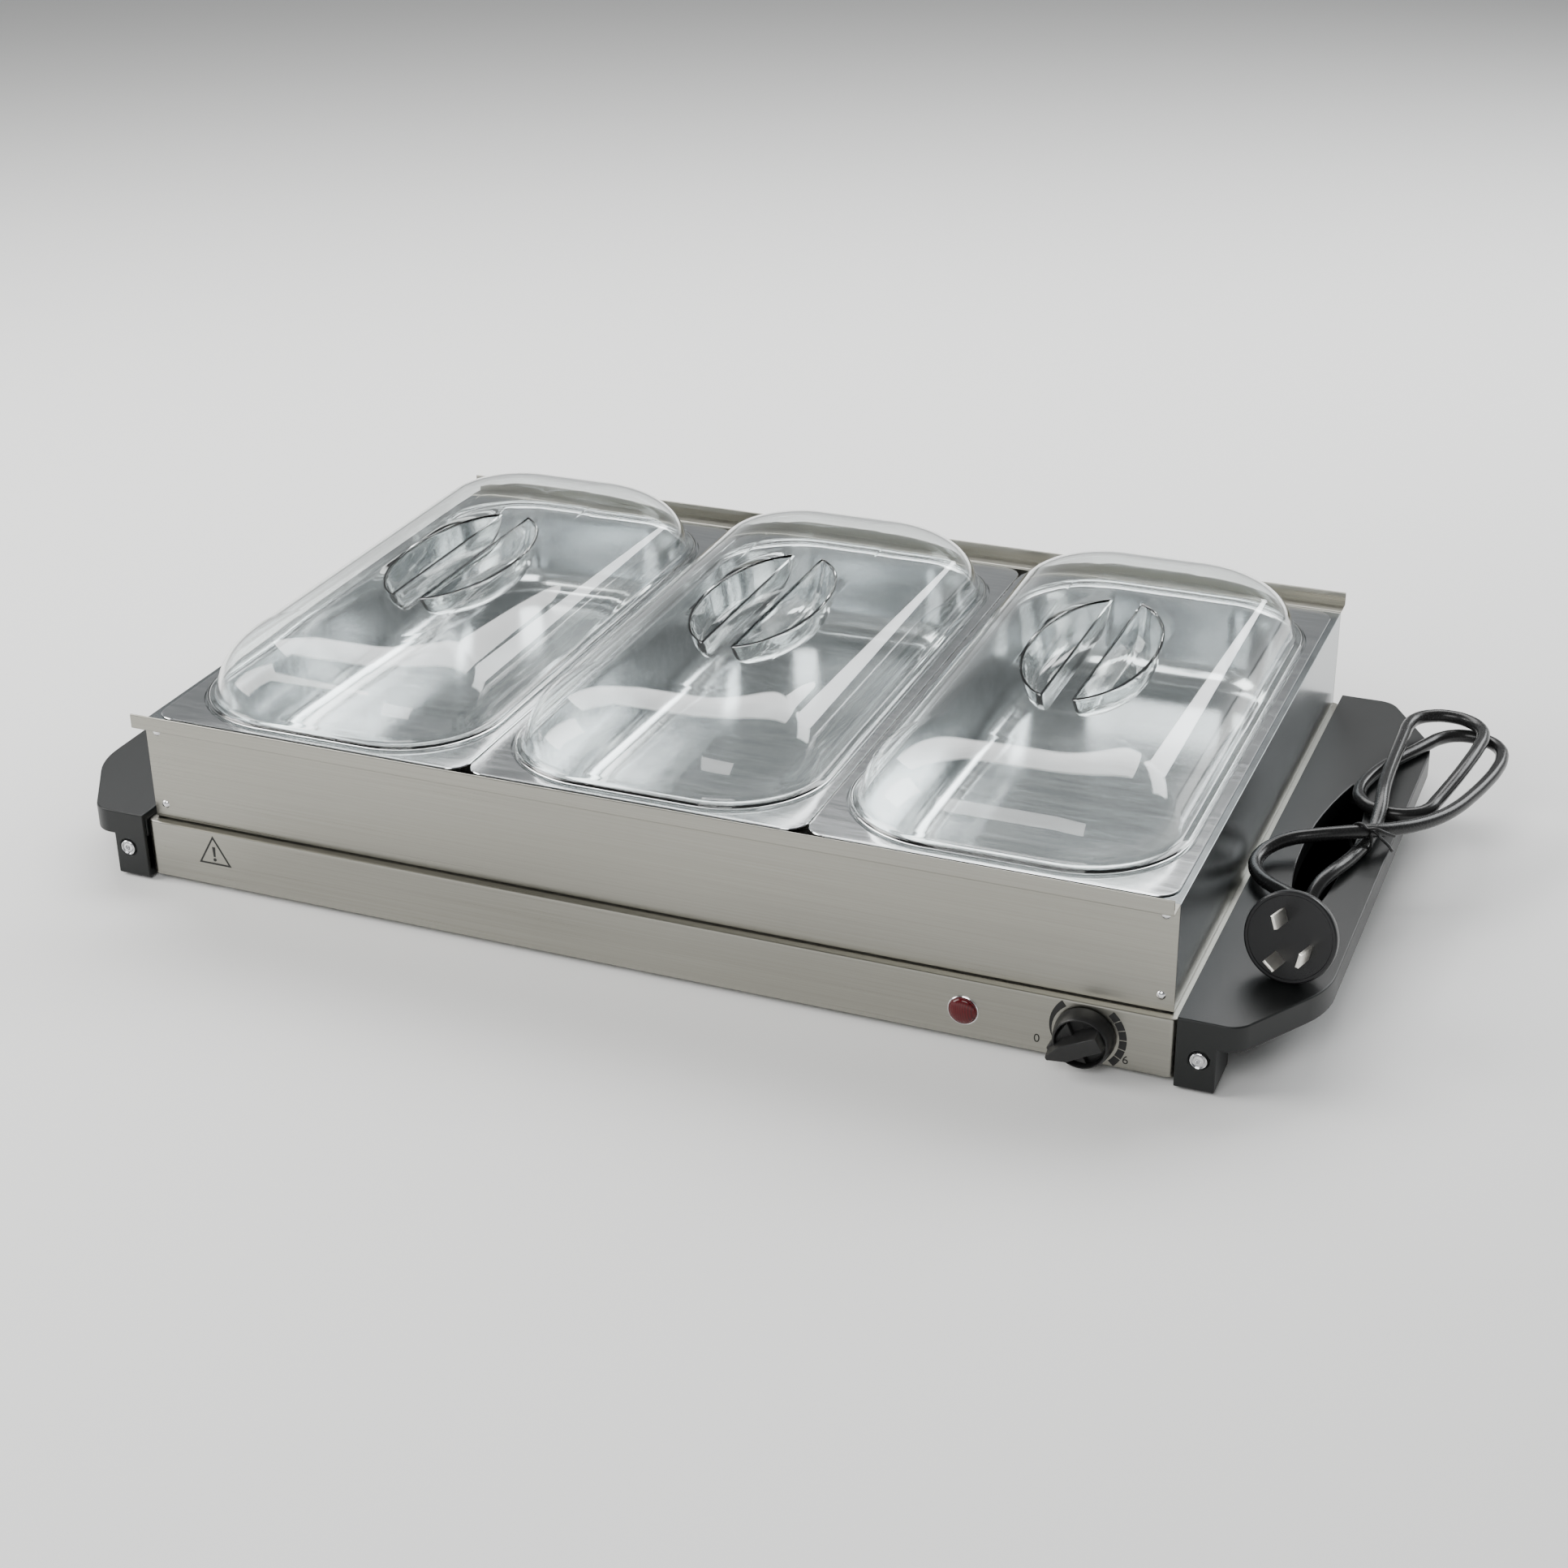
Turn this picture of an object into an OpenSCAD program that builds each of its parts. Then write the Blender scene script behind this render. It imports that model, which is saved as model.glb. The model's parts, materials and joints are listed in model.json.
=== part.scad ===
// Electric buffet server: a warming tray with a lift-off frame that carries three lidded pans.
// Millimetres. +X runs along the length, +Y to the back, +Z up, and the feet stand on z = 0.

/* [Base] */
// Length of the steel base, without the handles
base_len = 527; // [440:1:640]
// Depth of the steel base, front to back
base_dep = 346; // [300:1:420]
// Height of the steel base
base_hgt = 30; // [28:0.5:42]
// Air under the base
base_gap = 3; // [2.5:0.5:8]
// Plan radius of the base's corners
base_corner = 4; // [2:0.5:8]
// Thickness of the folded sheet steel
sheet = 0.6; // [0.5:0.05:1]
// How far the base stands out past the pan frame, at each end
ledge_x = 3.5; // [2:0.5:8]
// How far the base stands out past the pan frame, front and back
ledge_y = 5; // [2:0.5:8]
// Width of the flange turned in round the top of the base
top_flange = 16; // [13:1:24]
// Width of the flange turned in round the bottom of the base
low_flange = 9; // [7:1:14]
// Height of the raised hot plate over the base
plate_rise = 2.5; // [2:0.25:3]
// Thickness of the hot plate
plate_t = 1; // [0.8:0.1:1.5]

/* [Handles] */
// How far each handle reaches out from the base
handle_out = 56.5; // [50:0.5:75]
// How far the handles stand out past the base, front and back
handle_past = 3; // [1:0.5:10]
// Height of the handles' top over the base
handle_rise = 3.5; // [1:0.5:8]
// Thickness of the handles' top
handle_top_t = 3; // [2.5:0.25:4]
// Height of the rim under the handles' edge
handle_rim = 13; // [10:0.5:16]
// Thickness of the handles' walls
handle_wall = 2.5; // [2:0.25:3]
// Width of each leg, along the length
leg_w = 18; // [16:0.5:24]
// Depth of each leg, front to back
leg_dep = 26; // [22:1:40]
// Plan radius of the handles' sharper corners
handle_corner = 12; // [8:1:16]
// Plan radius of the handles' wide curves
handle_curve = 45; // [36:1:60]
// How far the wide curves' centres are from the handles' front and back
handle_turn = 60; // [50:1:80]
// Half the length of the hand-hold slot
slot_half = 71; // [60:1:80]
// Inner edge of the slot's blunt ends, measured from the base
slot_in = 26.5; // [24:0.5:30]
// Width of the slot's blunt ends
slot_end = 7; // [5:0.5:9]
// How far the slot's inner edge bows towards the base
slot_bow_in = 9.5; // [6:0.5:12]
// How far the slot's outer edge bows outwards
slot_bow_out = 6; // [3:0.5:8]
// Radius of the rubber foot pads
pad_r = 6; // [4:0.5:7]
// How far the foot pads stand out under the legs
pad_t = 1.5; // [1:0.25:2]

/* [Pan frame] */
// Height of the frame's panels, up to the pans' seat
frame_hgt = 54; // [50:0.5:70]
// How far the front and rear panels step out at the top
lip_out = 11; // [6:0.5:16]
// Height of the upstand on that step
lip_up = 7.5; // [4:0.5:12]
// Width of the side panels' top flange
side_flange = 9; // [6:0.5:12]
// Width of the tabs that the side panels turn in behind the front and rear ones
corner_tab = 14; // [10:1:20]
// Width of the bars that stand between the pans
bar_w = 12; // [9:0.5:14]
// Height of those bars' folded sides
bar_h = 14; // [8:1:20]
// Radius of the rivets' shanks
rivet_r = 1.5; // [1:0.1:2]

/* [Pans] */
// Distance from one pan to the next
pan_pitch = 171.5; // [150:0.5:174]
// Gap between neighbouring rims
rim_gap = 0.8; // [0.5:0.1:2]
// Length of the pans' rims, front to back
rim_len = 330; // [270:1:334]
// Plan radius of the rims' corners
rim_corner = 10; // [5:1:20]
// Width of the rims along the pans' long sides
rim_w = 10.5; // [9:0.5:14]
// Width of the rims at the pans' ends
rim_end = 9; // [8:0.5:14]
// Plan radius of the pans' openings
well_corner = 45; // [30:1:55]
// Depth of the pans
pan_depth = 48; // [30:0.5:48]
// Thickness of the pans' steel
pan_t = 0.8; // [0.6:0.1:1]
// How much narrower the pans' floor is than their opening, at each side
pan_draft = 9; // [4:0.5:14]

/* [Lids] */
// Height of the lids over the rims
lid_hgt = 35; // [28:0.5:50]
// Thickness of the lids
lid_t = 2; // [1.5:0.25:3]
// How far the lids' edge reaches over the rims
lid_lap = 5; // [3:0.5:7]
// Length of the finger recess, front to back
grip_len = 125; // [90:1:150]
// Width of the finger recess
grip_wid = 60; // [50:1:70]
// Width of the bar left standing across the recess
grip_bar = 16; // [10:0.5:20]
// Depth of the finger recess
grip_deep = 18; // [12:0.5:20]

/* [Controls] */
// Place of the knob along the front
knob_x = 222.5; // [190:0.5:235]
// Height of the knob, the lamp and the screws over the base's underside
control_h = 14; // [13.5:0.25:20]
// Radius of the knob's skirt
knob_r = 14; // [12:0.25:16]
// How far the knob stands out of the base's front
knob_out = 15; // [13:0.5:22]
// Radius of the control's shaft
shaft_r = 3; // [2.5:0.25:3.5]
// Running clearance round that shaft
shaft_fit = 0.05; // [0.02:0.01:0.1]
// Angle of the knob's pointer at rest, from +X towards +Z
knob_rest = 207; // [190:1:230]
// Place of the lamp along the front
lamp_x = 166; // [120:0.5:185]
// Radius of the lamp's lens
lamp_r = 6.75; // [5:0.25:9]

/* [Heater] */
// Diameter of the heating element's sheath
element_d = 6.5; // [5:0.25:8]
// Distance between the element's runs
element_pitch = 60; // [50:2:70]
// Length of the element's runs
element_run = 380; // [300:5:400]

/* [Cord] */
// Diameter of the power cord
cord_d = 7; // [6:0.25:8]
// Diameter of the plug's face
plug_d = 42; // [38:0.5:46]

/* [Hidden] */
$fn = 64;
seat = 0.2;            // air between pieces that rest on each other and lift apart
hole_fit = 0.2;        // air round a screw or rivet in its hole
over = 1;              // how far a cutting shape runs past what it cuts
base_x = base_len / 2;
base_y = base_dep / 2;
base_top = base_gap + base_hgt;
front = -base_y;                     // outer face of the base's front
front_in = front + sheet;
control_z = base_gap + control_h;
plate_top = base_top + plate_rise;
plate_low = plate_top - plate_t;
floor_z = base_gap + sheet;          // inner face of the base's bottom flange
floor_top = floor_z + sheet;
frame_len = base_len - 2 * ledge_x;
frame_dep = base_dep - 2 * ledge_y;
frame_x = frame_len / 2;
frame_y = frame_dep / 2;
frame_low = base_top + seat;
frame_top = base_top + frame_hgt;
handle_x = base_x + handle_out;
handle_y = base_y + handle_past;
handle_top = base_top + handle_rise;
handle_under = handle_top - handle_top_t;
rim_low = handle_top - handle_rim;
leg_low = pad_t;
leg_x = base_x + leg_w / 2;
leg_y = handle_y - leg_dep / 2;
reach_back = max(handle_y, frame_y + lip_out);
// The knob stands out furthest in front, so the body sits back until the whole is centred.
body_y = (base_y + knob_out - reach_back) / 2;
rim_z = frame_top + seat;
rim_wid = pan_pitch - rim_gap;
rim_top = rim_z + pan_t;
well_x = rim_wid / 2 - rim_w;
well_y = rim_len / 2 - rim_end;
pan_low = rim_top - pan_depth;
lid_z = rim_top + seat;
lid_x = well_x + lid_lap;
lid_y = well_y + lid_lap;
lid_corner = well_corner + lid_lap;
lid_top = lid_z + lid_hgt;
bush_r = 4.5;           // the thermostat's threaded neck
wire_d = 2.4;
cord_inlet_y = -114 - body_y;   // where the cord leaves the base's end, from the body's middle
cord_inlet_z = 19;
bushing_r = 7;
// The cord's route in the part's frame, from inside the base to the plug.
CORD = [
    [250, -114, 19], [262, -114, 19], [273, -114, 19], [284, -114, 19], [295.6, -111.4, 19],
    [305.1, -104.2, 19], [310.6, -93.6, 19.2], [311.2, -82, 20.4], [307.8, -72.5, 22.8],
    [301.5, -63.8, 26.4], [296.6, -55.2, 30.6], [294.8, -46.5, 34.9], [296.3, -37.5, 38.8],
    [299.6, -28.5, 40.7], [303, -18, 40.6], [306.3, -5.5, 40.4], [309, 8.5, 40.8],
    [310.5, 22, 42.7], [310.4, 35, 45.9], [309, 48, 47.7], [307.7, 64, 47.8], [307, 83, 47.7],
    [306.7, 102, 47.6], [306.5, 118, 47.5], [306.5, 131, 47.4], [309, 140.5, 47.4],
    [316, 147.5, 47.3], [325.5, 150, 47.2], [335, 147.5, 47.1], [342, 140.5, 47], [344.5, 131, 46.9],
    [344, 118, 46.6], [342, 103, 45.8], [339.2, 88, 44.3], [336, 74, 42.5], [333.2, 62.5, 41.2],
    [330.7, 53, 40.6], [324, 46, 40.4], [314.5, 43.5, 40.3], [305, 46, 40.3], [298, 53, 40.3],
    [295.6, 62.5, 40.3], [296.8, 76, 40.3], [301, 91, 40.3], [306.8, 105, 40.2],
    [312.4, 117, 40], [317.3, 128, 39.8], [322, 137.5, 39.6], [329, 144, 39.5], [338, 146, 39.4],
    [347, 143, 39.3], [353.4, 135.5, 39.3], [355.6, 125, 39.3], [354.8, 110, 39.3],
    [352, 94, 39.4], [348, 77, 39.7], [343.4, 60.5, 40.4], [337.4, 45, 41.6], [329.6, 30.5, 43.4],
    [320.2, 17.5, 45.7], [309.6, 6.5, 47.9], [298, -1, 48.4], [286, -5.8, 47.2],
    [276, -9.8, 45.4], [268.9, -16.2, 43.6], [265.2, -25, 42.4], [265.2, -34.5, 41.9],
    [269.3, -43.8, 42], [276.6, -52.2, 42.6], [286, -59.2, 43.4], [295.2, -66.6, 44.2],
    [301.3, -75.4, 45.2], [303.4, -84.5, 47], [302.7, -92.5, 49.1]];
plug_at = [300, -123, 57.3];   // middle of the plug's face
plug_turn = [75, 0, -5];
tie_at = [307, 3.5, 44.2];

// ---- shared shapes ----

module placed() {
    translate([0, body_y, 0]) children();
}

module rounded_rect(w, d, r) {
    square([w - 2 * r, d], center = true);
    square([w, d - 2 * r], center = true);
    for (sx = [-1, 1], sy = [-1, 1]) translate([sx * (w / 2 - r), sy * (d / 2 - r)]) circle(r);
}

module slab(w, d, h, r) {
    linear_extrude(h) rounded_rect(w, d, r);
}

// A flat ring: a slab with a smaller slab taken out.
module ring(w, d, h, r, wall) {
    difference() {
        slab(w, d, h, r);
        translate([0, 0, -over]) slab(w - 2 * wall, d - 2 * wall, h + 2 * over, max(r - wall, 0.5));
    }
}

// Children drawn flat on the base's front: x to the right, y up, z towards the user.
module on_front(x, z = control_z, y = front) {
    translate([x, y, z]) rotate([90, 0, 0]) children();
}

// A low dome of radius r and height h, standing on z = 0.
module dome(r, h) {
    ball = (r * r + h * h) / (2 * h);
    intersection() {
        translate([0, 0, h - ball]) sphere(ball);
        cylinder(r = r, h = h);
    }
}

function arc(c, r, a0, a1, n = 8) =
    [for (i = [0:n]) c + r * [cos(a0 + (a1 - a0) * i / n), sin(a0 + (a1 - a0) * i / n)]];

function unit(v) = v / norm(v);

// A round tube swept along a list of points.
module tube(points, d, sides = 8) {
    n = len(points);
    rings = [for (i = [0:n - 1])
        let (t = unit(points[min(i + 1, n - 1)] - points[max(i - 1, 0)]),
             side = unit(cross(t, abs(t.z) > 0.9 ? [1, 0, 0] : [0, 0, 1])),
             up = cross(side, t))
        for (k = [0:sides - 1])
            points[i] + d / 2 * (cos(360 * k / sides) * side + sin(360 * k / sides) * up)];
    skin = [for (i = [0:n - 2], k = [0:sides - 1])
        let (a = i * sides + k, b = i * sides + (k + 1) % sides)
        each [[a, b, b + sides], [a, b + sides, a + sides]]];
    ends = [[for (k = [sides - 1:-1:0]) k], [for (k = [0:sides - 1]) (n - 1) * sides + k]];
    polyhedron(points = rings, faces = concat(skin, ends), convexity = 10);
}

// ---- base ----

module base_housing() placed() color([0.70, 0.69, 0.66]) difference() {
    union() {
        translate([0, 0, base_gap]) ring(base_len, base_dep, base_hgt, base_corner, sheet);
        translate([0, 0, base_top - sheet]) ring(base_len, base_dep, sheet, base_corner, top_flange);
        translate([0, 0, base_gap]) ring(base_len, base_dep, sheet, base_corner, low_flange);
        for (sx = [-1, 1], sy = [-1, 1]) handle_tab(sx, sy);
    }
    for (hole = [[knob_x, bush_r], [lamp_x, lamp_stem_r]])
        on_front(hole[0]) translate([0, 0, -over - sheet])
            cylinder(r = hole[1] + hole_fit, h = 2 * over + sheet);
    translate([base_x - sheet - over, cord_inlet_y, cord_inlet_z]) rotate([0, 90, 0])
        cylinder(r = bushing_r, h = sheet + 2 * over);
    bottom_screw_places() translate([0, 0, base_gap - over]) cylinder(r = 1.5 + hole_fit, h = 3);
    for (sx = [-1, 1], sy = [-1, 1]) handle_screw_place(sx, sy)
        cylinder(r = 2 + hole_fit, h = 40, center = true);
}

lamp_stem_r = 5;
tab_reach = 13;     // how far the base's tabs reach into the handles' legs
tab_t = 1.2;
tab_hgt = 15;       // the tabs stop under the rim that hangs from the handle's top
screw_in = 10.5;    // the handle screws' distance from the base's end

module handle_tab(sx, sy) {
    mirror([sx < 0 ? 1 : 0, 0, 0]) mirror([0, sy < 0 ? 1 : 0, 0])
        translate([base_x - sheet, base_y - base_corner - 1 - tab_t, control_z - 9])
            cube([tab_reach + sheet, tab_t, tab_hgt]);
}

module handle_screw_place(sx, sy) {
    translate([sx * (base_x + screw_in), sy * handle_y, control_z]) rotate([sy * -90, 0, 0]) children();
}

module bottom_screw_places() {
    for (x = [-0.42, 0, 0.42], sy = [-1, 1])
        translate([x * base_len, sy * (base_y - low_flange / 2 - sheet), 0]) children();
}

module hot_plate() placed() color([0.78, 0.77, 0.74]) {
    w = frame_len - 2 * sheet - 2;
    d = frame_dep - 2 * sheet - 2;
    translate([0, 0, base_top]) difference() {
        slab(w, d, plate_rise, base_corner);
        translate([0, 0, -over])
            slab(w - 2 * plate_t, d - 2 * plate_t, plate_rise - plate_t + over, base_corner - 1);
    }
    clamp_places() translate([0, 0, plate_low - stud_len]) cylinder(r = 1.5, h = stud_len);
}

module bottom_plate() placed() color([0.62, 0.62, 0.61]) difference() {
    translate([0, 0, floor_z])
        slab(base_len - 2 * sheet - 1, base_dep - 2 * sheet - 1, sheet, base_corner - sheet);
    bottom_screw_places() translate([0, 0, base_gap]) cylinder(r = 1.55, h = 3);
    for (i = [-6:6], sy = [-1, 1]) translate([i * 24, sy * 90, floor_z - over])
        linear_extrude(sheet + 2 * over) rounded_rect(5, 46, 2.4);
    for (p = block_screws) translate([p.x, p.y, floor_z - over]) cylinder(r = 1.55, h = sheet + 2 * over);
    translate([earth_at.x, earth_at.y, floor_z - over]) cylinder(r = 2.05, h = sheet + 2 * over);
}

module bottom_screws() placed() color([0.75, 0.75, 0.76]) bottom_screw_places() {
    translate([0, 0, base_gap - 1.4]) cylinder(r1 = 2.4, r2 = 2.8, h = 1.4);
    translate([0, 0, base_gap - 0.2]) cylinder(r = 1.5, h = 3);
}

// ---- handles ----

function tangent_angle(c1, r1, c2, r2) =
    atan2(c2.y - c1.y, c2.x - c1.x) - acos((r1 - r2) / norm(c2 - c1));

// The right handle's plan, drawn in by `cut` all round; its inner side stays on the base.
function handle_plan(cut = 0) =
    let (c1 = [base_x + 20.5, -handle_y + handle_corner],
         c2 = [handle_x - handle_curve, -handle_y + handle_turn],
         r1 = handle_corner - cut, r2 = handle_curve - cut,
         a = tangent_angle(c1, handle_corner, c2, handle_curve),
         lower = concat([[base_x, -handle_y + cut]], arc(c1, r1, -90, a), arc(c2, r2, a, 0, 6)))
    concat(lower, [for (i = [len(lower) - 1:-1:0]) [lower[i].x, -lower[i].y]]);

// The hand-hold slot's plan, grown by `grow` all round.
function slot_plan(grow = 0) =
    let (n = 12, half = slot_half + grow,
         left = [for (i = [0:n]) let (t = 2 * i / n - 1)
             [base_x + slot_in - slot_bow_in * (1 - t * t) - grow, t * half]],
         right = [for (i = [n:-1:0]) let (t = 2 * i / n - 1)
             [base_x + slot_in + slot_end + slot_bow_out * (1 - t * t) + grow, t * half]])
    concat(left, right);

module handle() {
    difference() {
        union() {
            // the top and the rim that hangs from its edge
            difference() {
                translate([0, 0, rim_low]) linear_extrude(handle_rim) polygon(handle_plan());
                translate([0, 0, rim_low - over]) linear_extrude(handle_rim - handle_top_t + over)
                    difference() {
                        polygon(handle_plan(handle_wall));
                        translate([base_x - over, -base_y]) square([handle_wall + over, base_dep]);
                        for (y = [-150, -60, 60, 150]) translate([base_x, y - 1]) square([handle_out, 2]);
                    }
            }
            // the wall that lies against the base's end
            translate([base_x, -handle_y + leg_dep - over, base_gap + 3])
                cube([handle_wall, 2 * (handle_y - leg_dep + over), handle_under - base_gap - 3]);
            // legs
            for (sy = [-1, 1]) mirror([0, sy < 0 ? 1 : 0, 0]) difference() {
                translate([base_x, handle_y - leg_dep, leg_low])
                    cube([leg_w, leg_dep, handle_under - leg_low]);
                translate([base_x - over, handle_y - leg_dep + handle_wall, leg_low + 4])
                    cube([leg_w - handle_wall + over, leg_dep - 2 * handle_wall, handle_under]);
            }
            // the slot's own wall
            translate([0, 0, rim_low + 2]) linear_extrude(handle_under - rim_low - 2 + 0.5)
                difference() {
                    polygon(slot_plan(2));
                    polygon(slot_plan());
                }
        }
        translate([0, 0, rim_low - over]) linear_extrude(handle_rim + 2 * over) polygon(slot_plan());
        for (sy = [-1, 1]) handle_screw_place(1, sy) {
            cylinder(r = 2 + hole_fit, h = 20, center = true);
            translate([0, 0, -1]) cylinder(r = 4.6, h = 3);
        }
        for (sy = [-1, 1]) translate([leg_x, sy * leg_y, leg_low - over])
            cylinder(r = 2.05, h = 4 + 2 * over);
    }
}

module handle_left() placed() color([0.07, 0.07, 0.07]) mirror([1, 0, 0]) handle();

// The right handle also lets the cord out of the base and up through its slot.
module handle_right() placed() color([0.07, 0.07, 0.07]) difference() {
    handle();
    translate([base_x - over, cord_inlet_y, cord_inlet_z]) rotate([0, 90, 0])
        cylinder(r = bushing_r + 2.5, h = handle_wall + 2 * over);
    for (gap = [[-slot_half - 6, 30], [-62, 4]])
        translate([base_x + slot_in - 4, gap[0], rim_low - over])
            cube([20, gap[1], handle_rim - handle_top_t + over]);
}

module handle_screws() placed() color([0.80, 0.80, 0.82])
    for (sx = [-1, 1], sy = [-1, 1]) handle_screw_place(sx, sy) difference() {
        union() {
            translate([0, 0, -1]) cylinder(r1 = 4, r2 = 3.4, h = 2);
            translate([0, 0, -13]) cylinder(r = 2, h = 12.5);
        }
        for (a = [0, 90]) rotate(a + 20) translate([-2.3, -0.45, 0]) cube([4.6, 0.9, 2]);
    }

module foot_pads() placed() color([0.12, 0.12, 0.12])
    for (sx = [-1, 1], sy = [-1, 1]) translate([sx * leg_x, sy * leg_y, 0]) {
        cylinder(r1 = pad_r - 0.5, r2 = pad_r, h = pad_t);
        cylinder(r = 2, h = pad_t + 4.5);
    }

// ---- heater ----

element_z = plate_low - element_d / 2;
stud_len = element_d + 5;
element_mid = -25;       // middle of the heated area, left of the controls

function run_y(i) = (i - 1.5) * element_pitch;

module bend(x, i, side) {
    translate([x, (run_y(i) + run_y(i + 1)) / 2, element_z]) rotate([0, 0, side > 0 ? -90 : 90])
        rotate_extrude(angle = 180) translate([element_pitch / 2, 0]) circle(d = element_d);
}

module heating_element() placed() color([0.34, 0.33, 0.31]) {
    left = element_mid - element_run / 2;
    right = element_mid + element_run / 2;
    for (i = [0:3]) translate([left, run_y(i), element_z]) rotate([0, 90, 0])
        cylinder(d = element_d, h = element_run);
    bend(left, 0, -1);
    bend(right, 1, 1);
    bend(left, 2, -1);
}

module element_terminals() placed() color([0.82, 0.80, 0.74])
    for (i = [0, 3]) translate([element_mid + element_run / 2, run_y(i), element_z]) rotate([0, 90, 0]) {
        cylinder(r = element_d / 2, h = 7);
        translate([0, 0, 7]) cylinder(r = 1.4, h = 9);
        translate([-0.4, -3.15, 14]) cube([0.8, 6.3, 8]);
    }

module clamp_places() {
    for (sx = [-1, 1], i = [0:2])
        translate([element_mid + sx * element_run / 3, (run_y(i) + run_y(i + 1)) / 2, 0]) children();
}

module element_clamps() placed() color([0.66, 0.66, 0.66]) clamp_places()
    translate([0, 0, element_z - element_d / 2 - 1]) difference() {
        translate([-7, -element_pitch / 2 - 3, 0]) cube([14, element_pitch + 6, 1]);
        translate([0, 0, -over]) cylinder(r = 1.5 + hole_fit, h = 3);
    }

module clamp_nuts() placed() color([0.75, 0.74, 0.70]) clamp_places()
    translate([0, 0, element_z - element_d / 2 - 3.4]) difference() {
        cylinder(r = 3.2, h = 2.4, $fn = 6);
        translate([0, 0, -over]) cylinder(r = 1.5, h = 5);
    }

mat_x0 = -base_x + 18;
mat_x1 = 190;
mat_y = base_y - 33;

module insulation_mat() placed() color([0.90, 0.89, 0.84])
    translate([mat_x0, -mat_y, shield_z + sheet]) cube([mat_x1 - mat_x0, 2 * mat_y, 6]);

shield_z = floor_top + 5;

module heat_shield() placed() color([0.80, 0.80, 0.80]) {
    translate([mat_x0, -mat_y, shield_z]) cube([mat_x1 - mat_x0, 2 * mat_y, sheet]);
    for (sy = [-1, 1]) {
        translate([mat_x0, sy * mat_y - (sy > 0 ? sheet : 0), floor_top])
            cube([mat_x1 - mat_x0, sheet, shield_z - floor_top]);
        translate([mat_x0, sy * mat_y - (sy > 0 ? 0 : 8), floor_top]) cube([mat_x1 - mat_x0, 8, sheet]);
    }
}

cutoff_at = [150, 0];

module thermal_cutoff() placed() color([0.20, 0.16, 0.13]) translate([cutoff_at.x, cutoff_at.y, 0]) {
    translate([0, 0, plate_low - 8]) cylinder(r = 8, h = 8);
    for (sx = [-1, 1]) translate([sx * 5 - 0.4, -3, plate_low - 14]) cube([0.8, 6, 6]);
}

module cutoff_clip() placed() color([0.72, 0.72, 0.72]) translate([cutoff_at.x, cutoff_at.y, plate_low - 9]) {
    translate([-3, -16, 0]) cube([6, 32, 1]);
    for (sy = [-1, 1]) translate([-3, sy * 15.5 - 0.5, 0]) cube([6, 1, 9]);
}

// ---- controls ----

module thermostat_body() placed() color([0.16, 0.15, 0.15]) on_front(knob_x, y = front_in + 1) difference() {
    union() {
        translate([-14, -11, -20]) cube([28, 22, 20]);
        cylinder(r = bush_r, h = 1 + sheet + 3.2);
        for (sx = [-1, 1]) translate([sx * 8 - 0.4, -3, -28]) cube([0.8, 6.3, 9]);
    }
    translate([0, 0, -14]) cylinder(r = shaft_r + shaft_fit, h = 30);
}

module thermostat_bracket() placed() color([0.74, 0.73, 0.70])
on_front(knob_x, y = front_in + 1) difference() {
    translate([-18, -12.5, 0]) cube([36, 25, 1]);
    translate([0, 0, -over]) cylinder(r = bush_r + hole_fit, h = 3);
}

module thermostat_nut() placed() color([0.78, 0.76, 0.66]) on_front(knob_x) difference() {
    cylinder(r = 8, h = 2.2, $fn = 6);
    translate([0, 0, -over]) cylinder(r = bush_r, h = 6);
}

dial_in = 15.4;
dial_wide = 3.4;
ink_t = 0.12;

// A stretch of the printed dial, from angle a0 to a1, whose width runs from w0 to w1.
module dial_band(a0, a1, w0, w1) {
    n = 10;
    function edge(i, w) = (dial_in + w) * [cos(a0 + (a1 - a0) * i / n), sin(a0 + (a1 - a0) * i / n)];
    linear_extrude(ink_t) polygon(concat([for (i = [0:n]) edge(i, 0)],
        [for (i = [n:-1:0]) edge(i, w0 + (w1 - w0) * i / n)]));
}

module dial_scale() placed() color([0.05, 0.05, 0.05]) on_front(knob_x) {
    dial_band(126, 196, dial_wide, 0.25);
    for (i = [0:5]) dial_band(49 - 16 * i, 49 - 16 * i - 14.4, dial_wide, dial_wide);
}

caution_x = -225;
caution_w = 18.5;
caution_line = 0.9;

module caution_mark() placed() color([0.08, 0.08, 0.08]) on_front(caution_x, control_z + 3.3)
    linear_extrude(ink_t) {
        rotate(90) difference() {
            circle(r = caution_w / sqrt(3), $fn = 3);
            circle(r = caution_w / sqrt(3) - 2 * caution_line, $fn = 3);
        }
        polygon([[-0.9, 4.5], [0.9, 4.5], [0.5, -1], [-0.5, -1]]);
        translate([0, -2.6]) circle(0.9);
    }

module indicator_lens() placed() color([0.55, 0.03, 0.04]) on_front(lamp_x) {
    cylinder(r = lamp_r, h = 1);
    translate([0, 0, 1]) dome(lamp_r - 0.4, 1.8);
    translate([0, 0, -4]) cylinder(r = lamp_stem_r - 1, h = 4);
}

module indicator_body() placed() color([0.85, 0.84, 0.80]) on_front(lamp_x) {
    difference() {
        translate([0, 0, -22]) cylinder(r = lamp_stem_r, h = 22);
        translate([0, 0, -4]) cylinder(r = lamp_stem_r - 1, h = 5);
    }
    for (sx = [-1, 1]) translate([sx * 2.5 - 0.4, -2, -28]) cube([0.8, 4, 6.5]);
}

module indicator_clip() placed() color([0.70, 0.70, 0.70]) on_front(lamp_x, y = front_in) difference() {
    translate([0, 0, -1.5]) cylinder(r = 8.5, h = 1.5);
    translate([0, 0, -3]) cylinder(r = lamp_stem_r, h = 4);
}

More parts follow.
